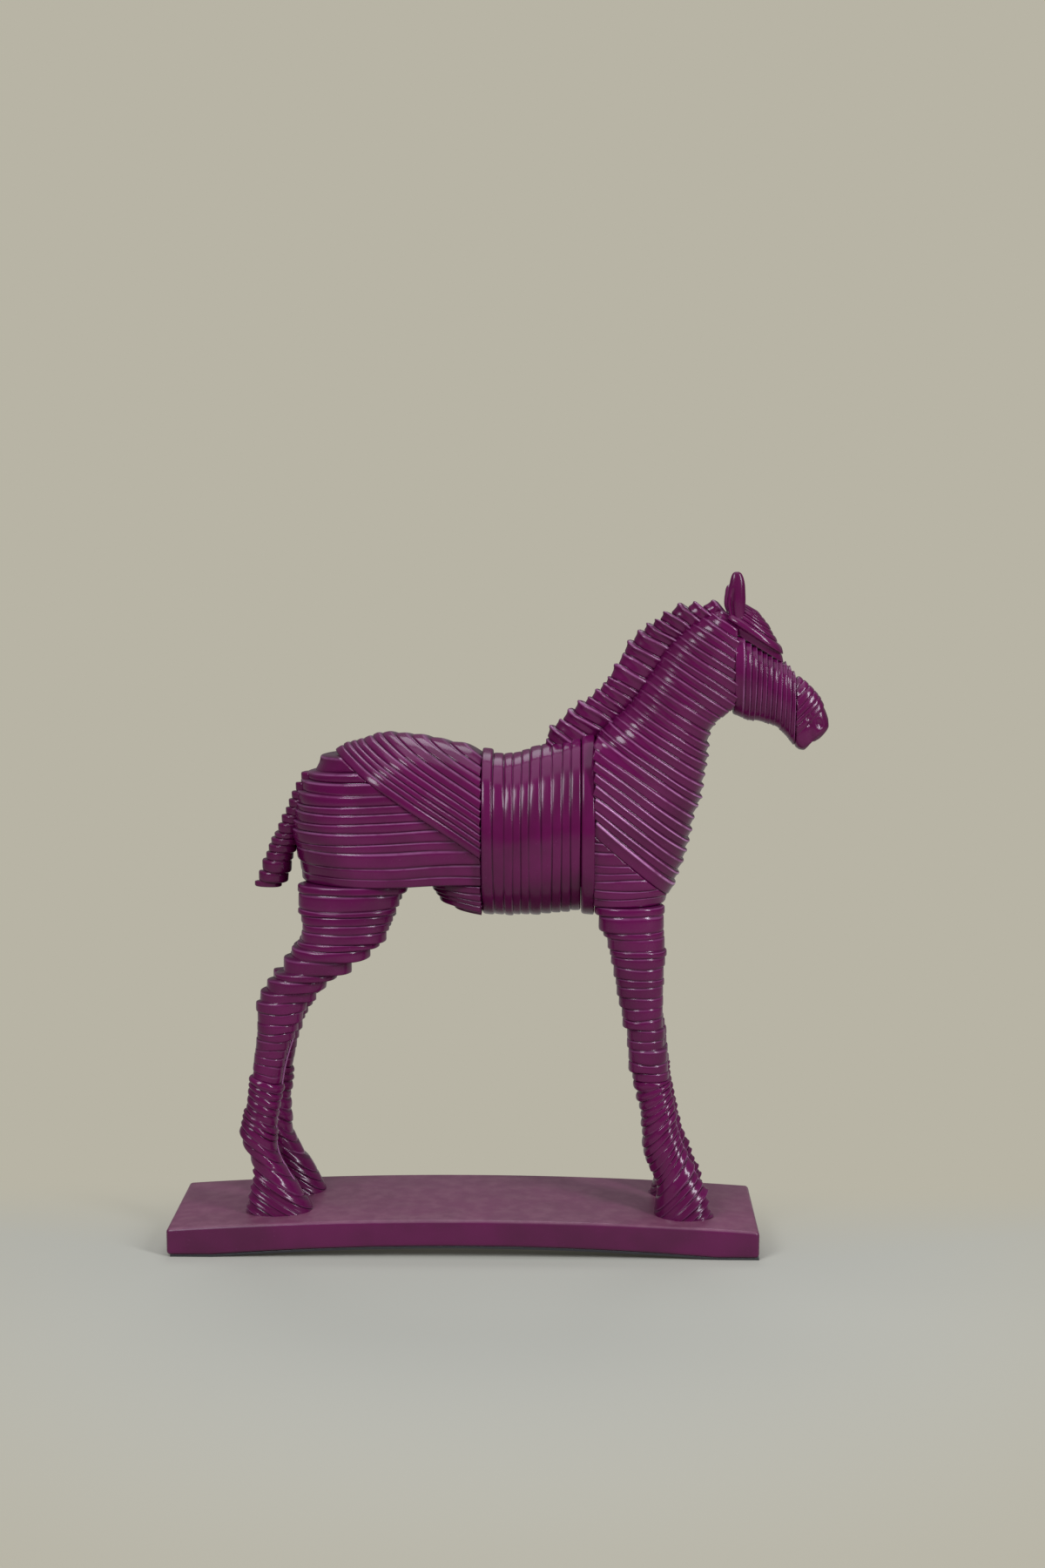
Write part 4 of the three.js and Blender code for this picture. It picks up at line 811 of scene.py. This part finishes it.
def bowed_slab():
    """The slab, bowed along its length, flat under its ends, with its edges eased.

    Its middle is at X = 0, so it lies 1 mm behind the part's own slab.
    """
    bm = bmesh.new()
    bmesh.ops.create_cube(bm, size=1)
    bmesh.ops.scale(bm, vec=(SLAB_LENGTH, SLAB_DEPTH, SLAB_THICK), verts=bm.verts)
    lengthwise = [e for e in bm.edges if abs(e.verts[0].co.x - e.verts[1].co.x) > 1]
    bmesh.ops.subdivide_edges(bm, edges=lengthwise, cuts=67, use_grid_fill=True)
    flat = SLAB_LENGTH / 2 - FOOT_LENGTH
    for v in bm.verts:
        if v.co.z > 0:
            v.co.z = SLAB_BOW * (1 - (2 * v.co.x / SLAB_LENGTH) ** 2) - SLAB_BOW
        else:
            rise = max(SLAB_BOW * (1 - (v.co.x / flat) ** 2), 0)
            v.co.z = rise - SLAB_BOW - SLAB_THICK
    bm.normal_update()
    rim = [e for e in bm.edges if e.calc_face_angle(0) > 0.7]
    bmesh.ops.bevel(bm, geom=rim, offset=2.2, segments=5, profile=0.5, affect="EDGES", material=-1)
    for v in bm.verts:
        v.co = at(*v.co)
    finish_piece("base_slab", bm, ["base_slab"], SLAB_PAINT)


bowed_slab()
for node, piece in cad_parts.items():
    if node == "body_core":
        finish = RESIN
    elif node == "base_liner":
        finish = FELT
    elif "_rod_" in node or "_nut_" in node:
        finish = STEEL
    else:
        continue
    piece.data.materials.clear()
    piece.data.materials.append(finish)

# Studio: a pale floor that runs into a plain beige backdrop, a window on each side in front, a
# broad soft light overhead and a weak one high up behind.
FLOOR = linear(179, 178, 167)
BACKDROP = linear(184, 180, 165)
ROOM_LIGHT, ROOM_STRENGTH = (0.96, 0.96, 1.0, 1), 0.15
BACKDROP_IN_GLOSS = 0.12    # how much of the backdrop the paint mirrors
WINDOW_LIGHT = (0.91, 0.935, 1.0)


def lay_floor():
    m = Mix("pale_floor")
    behind = m.axis(m.place, "Y")
    far = m.add("ShaderNodeVectorMath", {0: m.place}, operation="LENGTH").outputs["Value"]
    pale = m.math("MAXIMUM", m.fit(far, 0.16, 0.55), m.fit(behind, -0.06, 0.1))
    m.set(base_color=FLOOR, roughness=1.0, specular_ior_level=0.0)
    glow = m.add("ShaderNodeEmission", {"Color": BACKDROP, "Strength": 1.0}).outputs[0]
    seen = m.add("ShaderNodeLightPath").outputs["Is Camera Ray"]
    links = {0: m.times(pale, seen), 1: m.surface.outputs[0], 2: glow}
    joined = m.add("ShaderNodeMixShader", links).outputs[0]
    m.tree.links.new(joined, m.tree.nodes["Material Output"].inputs["Surface"])
    bm = bmesh.new()
    bmesh.ops.create_grid(bm, x_segments=1, y_segments=1, size=40)
    mesh = bpy.data.meshes.new("floor")
    bm.to_mesh(mesh)
    bm.free()
    mesh.materials.append(m.material)
    floor = bpy.data.objects.new("floor", mesh)
    bpy.context.scene.collection.objects.link(floor)


def hang_backdrop():
    world = bpy.data.worlds.new("studio")
    world.use_nodes = True
    tree = world.node_tree
    lit = tree.nodes["Background"]
    lit.inputs["Color"].default_value = ROOM_LIGHT
    lit.inputs["Strength"].default_value = ROOM_STRENGTH
    seen = tree.nodes.new("ShaderNodeBackground")
    seen.inputs["Color"].default_value = BACKDROP
    rays = tree.nodes.new("ShaderNodeLightPath")
    mirrored = tree.nodes.new("ShaderNodeMath")
    mirrored.operation = "MULTIPLY_ADD"
    mirrored.inputs[1].default_value = BACKDROP_IN_GLOSS
    either = tree.nodes.new("ShaderNodeMath")
    either.operation = "MAXIMUM"
    mix = tree.nodes.new("ShaderNodeMixShader")
    for outgoing, incoming in (
        (rays.outputs["Is Glossy Ray"], mirrored.inputs[0]),
        (rays.outputs["Is Transmission Ray"], mirrored.inputs[2]),
        (rays.outputs["Is Camera Ray"], either.inputs[0]),
        (mirrored.outputs[0], either.inputs[1]),
        (either.outputs[0], mix.inputs[0]),
        (lit.outputs[0], mix.inputs[1]),
        (seen.outputs[0], mix.inputs[2]),
        (mix.outputs[0], tree.nodes["World Output"].inputs["Surface"]),
    ):
        tree.links.new(outgoing, incoming)
    bpy.context.scene.world = world


def softbox(name, place, aim, size, power):
    light = bpy.data.lights.new(name, "AREA")
    light.shape = "RECTANGLE"
    light.size, light.size_y = size
    light.energy = power
    light.color = WINDOW_LIGHT
    lamp = bpy.data.objects.new(name, light)
    bpy.context.scene.collection.objects.link(lamp)
    lamp.location = place
    lamp.rotation_euler = (Vector(aim) - Vector(place)).to_track_quat("-Z", "Y").to_euler()


lay_floor()
hang_backdrop()
softbox("window", (1.15, -1.0, 0.98), (0, 0, 0.22), (0.28, 0.95), 18.5)
softbox("side window", (-0.8, -1.1, 1.1), (0, 0, 0.25), (0.6, 0.65), 13.5)
softbox("sky", (0.0, -0.3, 2.2), (0, 0, 0.2), (2.4, 2.0), 17)
softbox("back light", (0.0, 1.1, 1.7), (0, 0, 0.18), (1.0, 0.8), 6)
bpy.context.scene.view_settings.view_transform = "Standard"
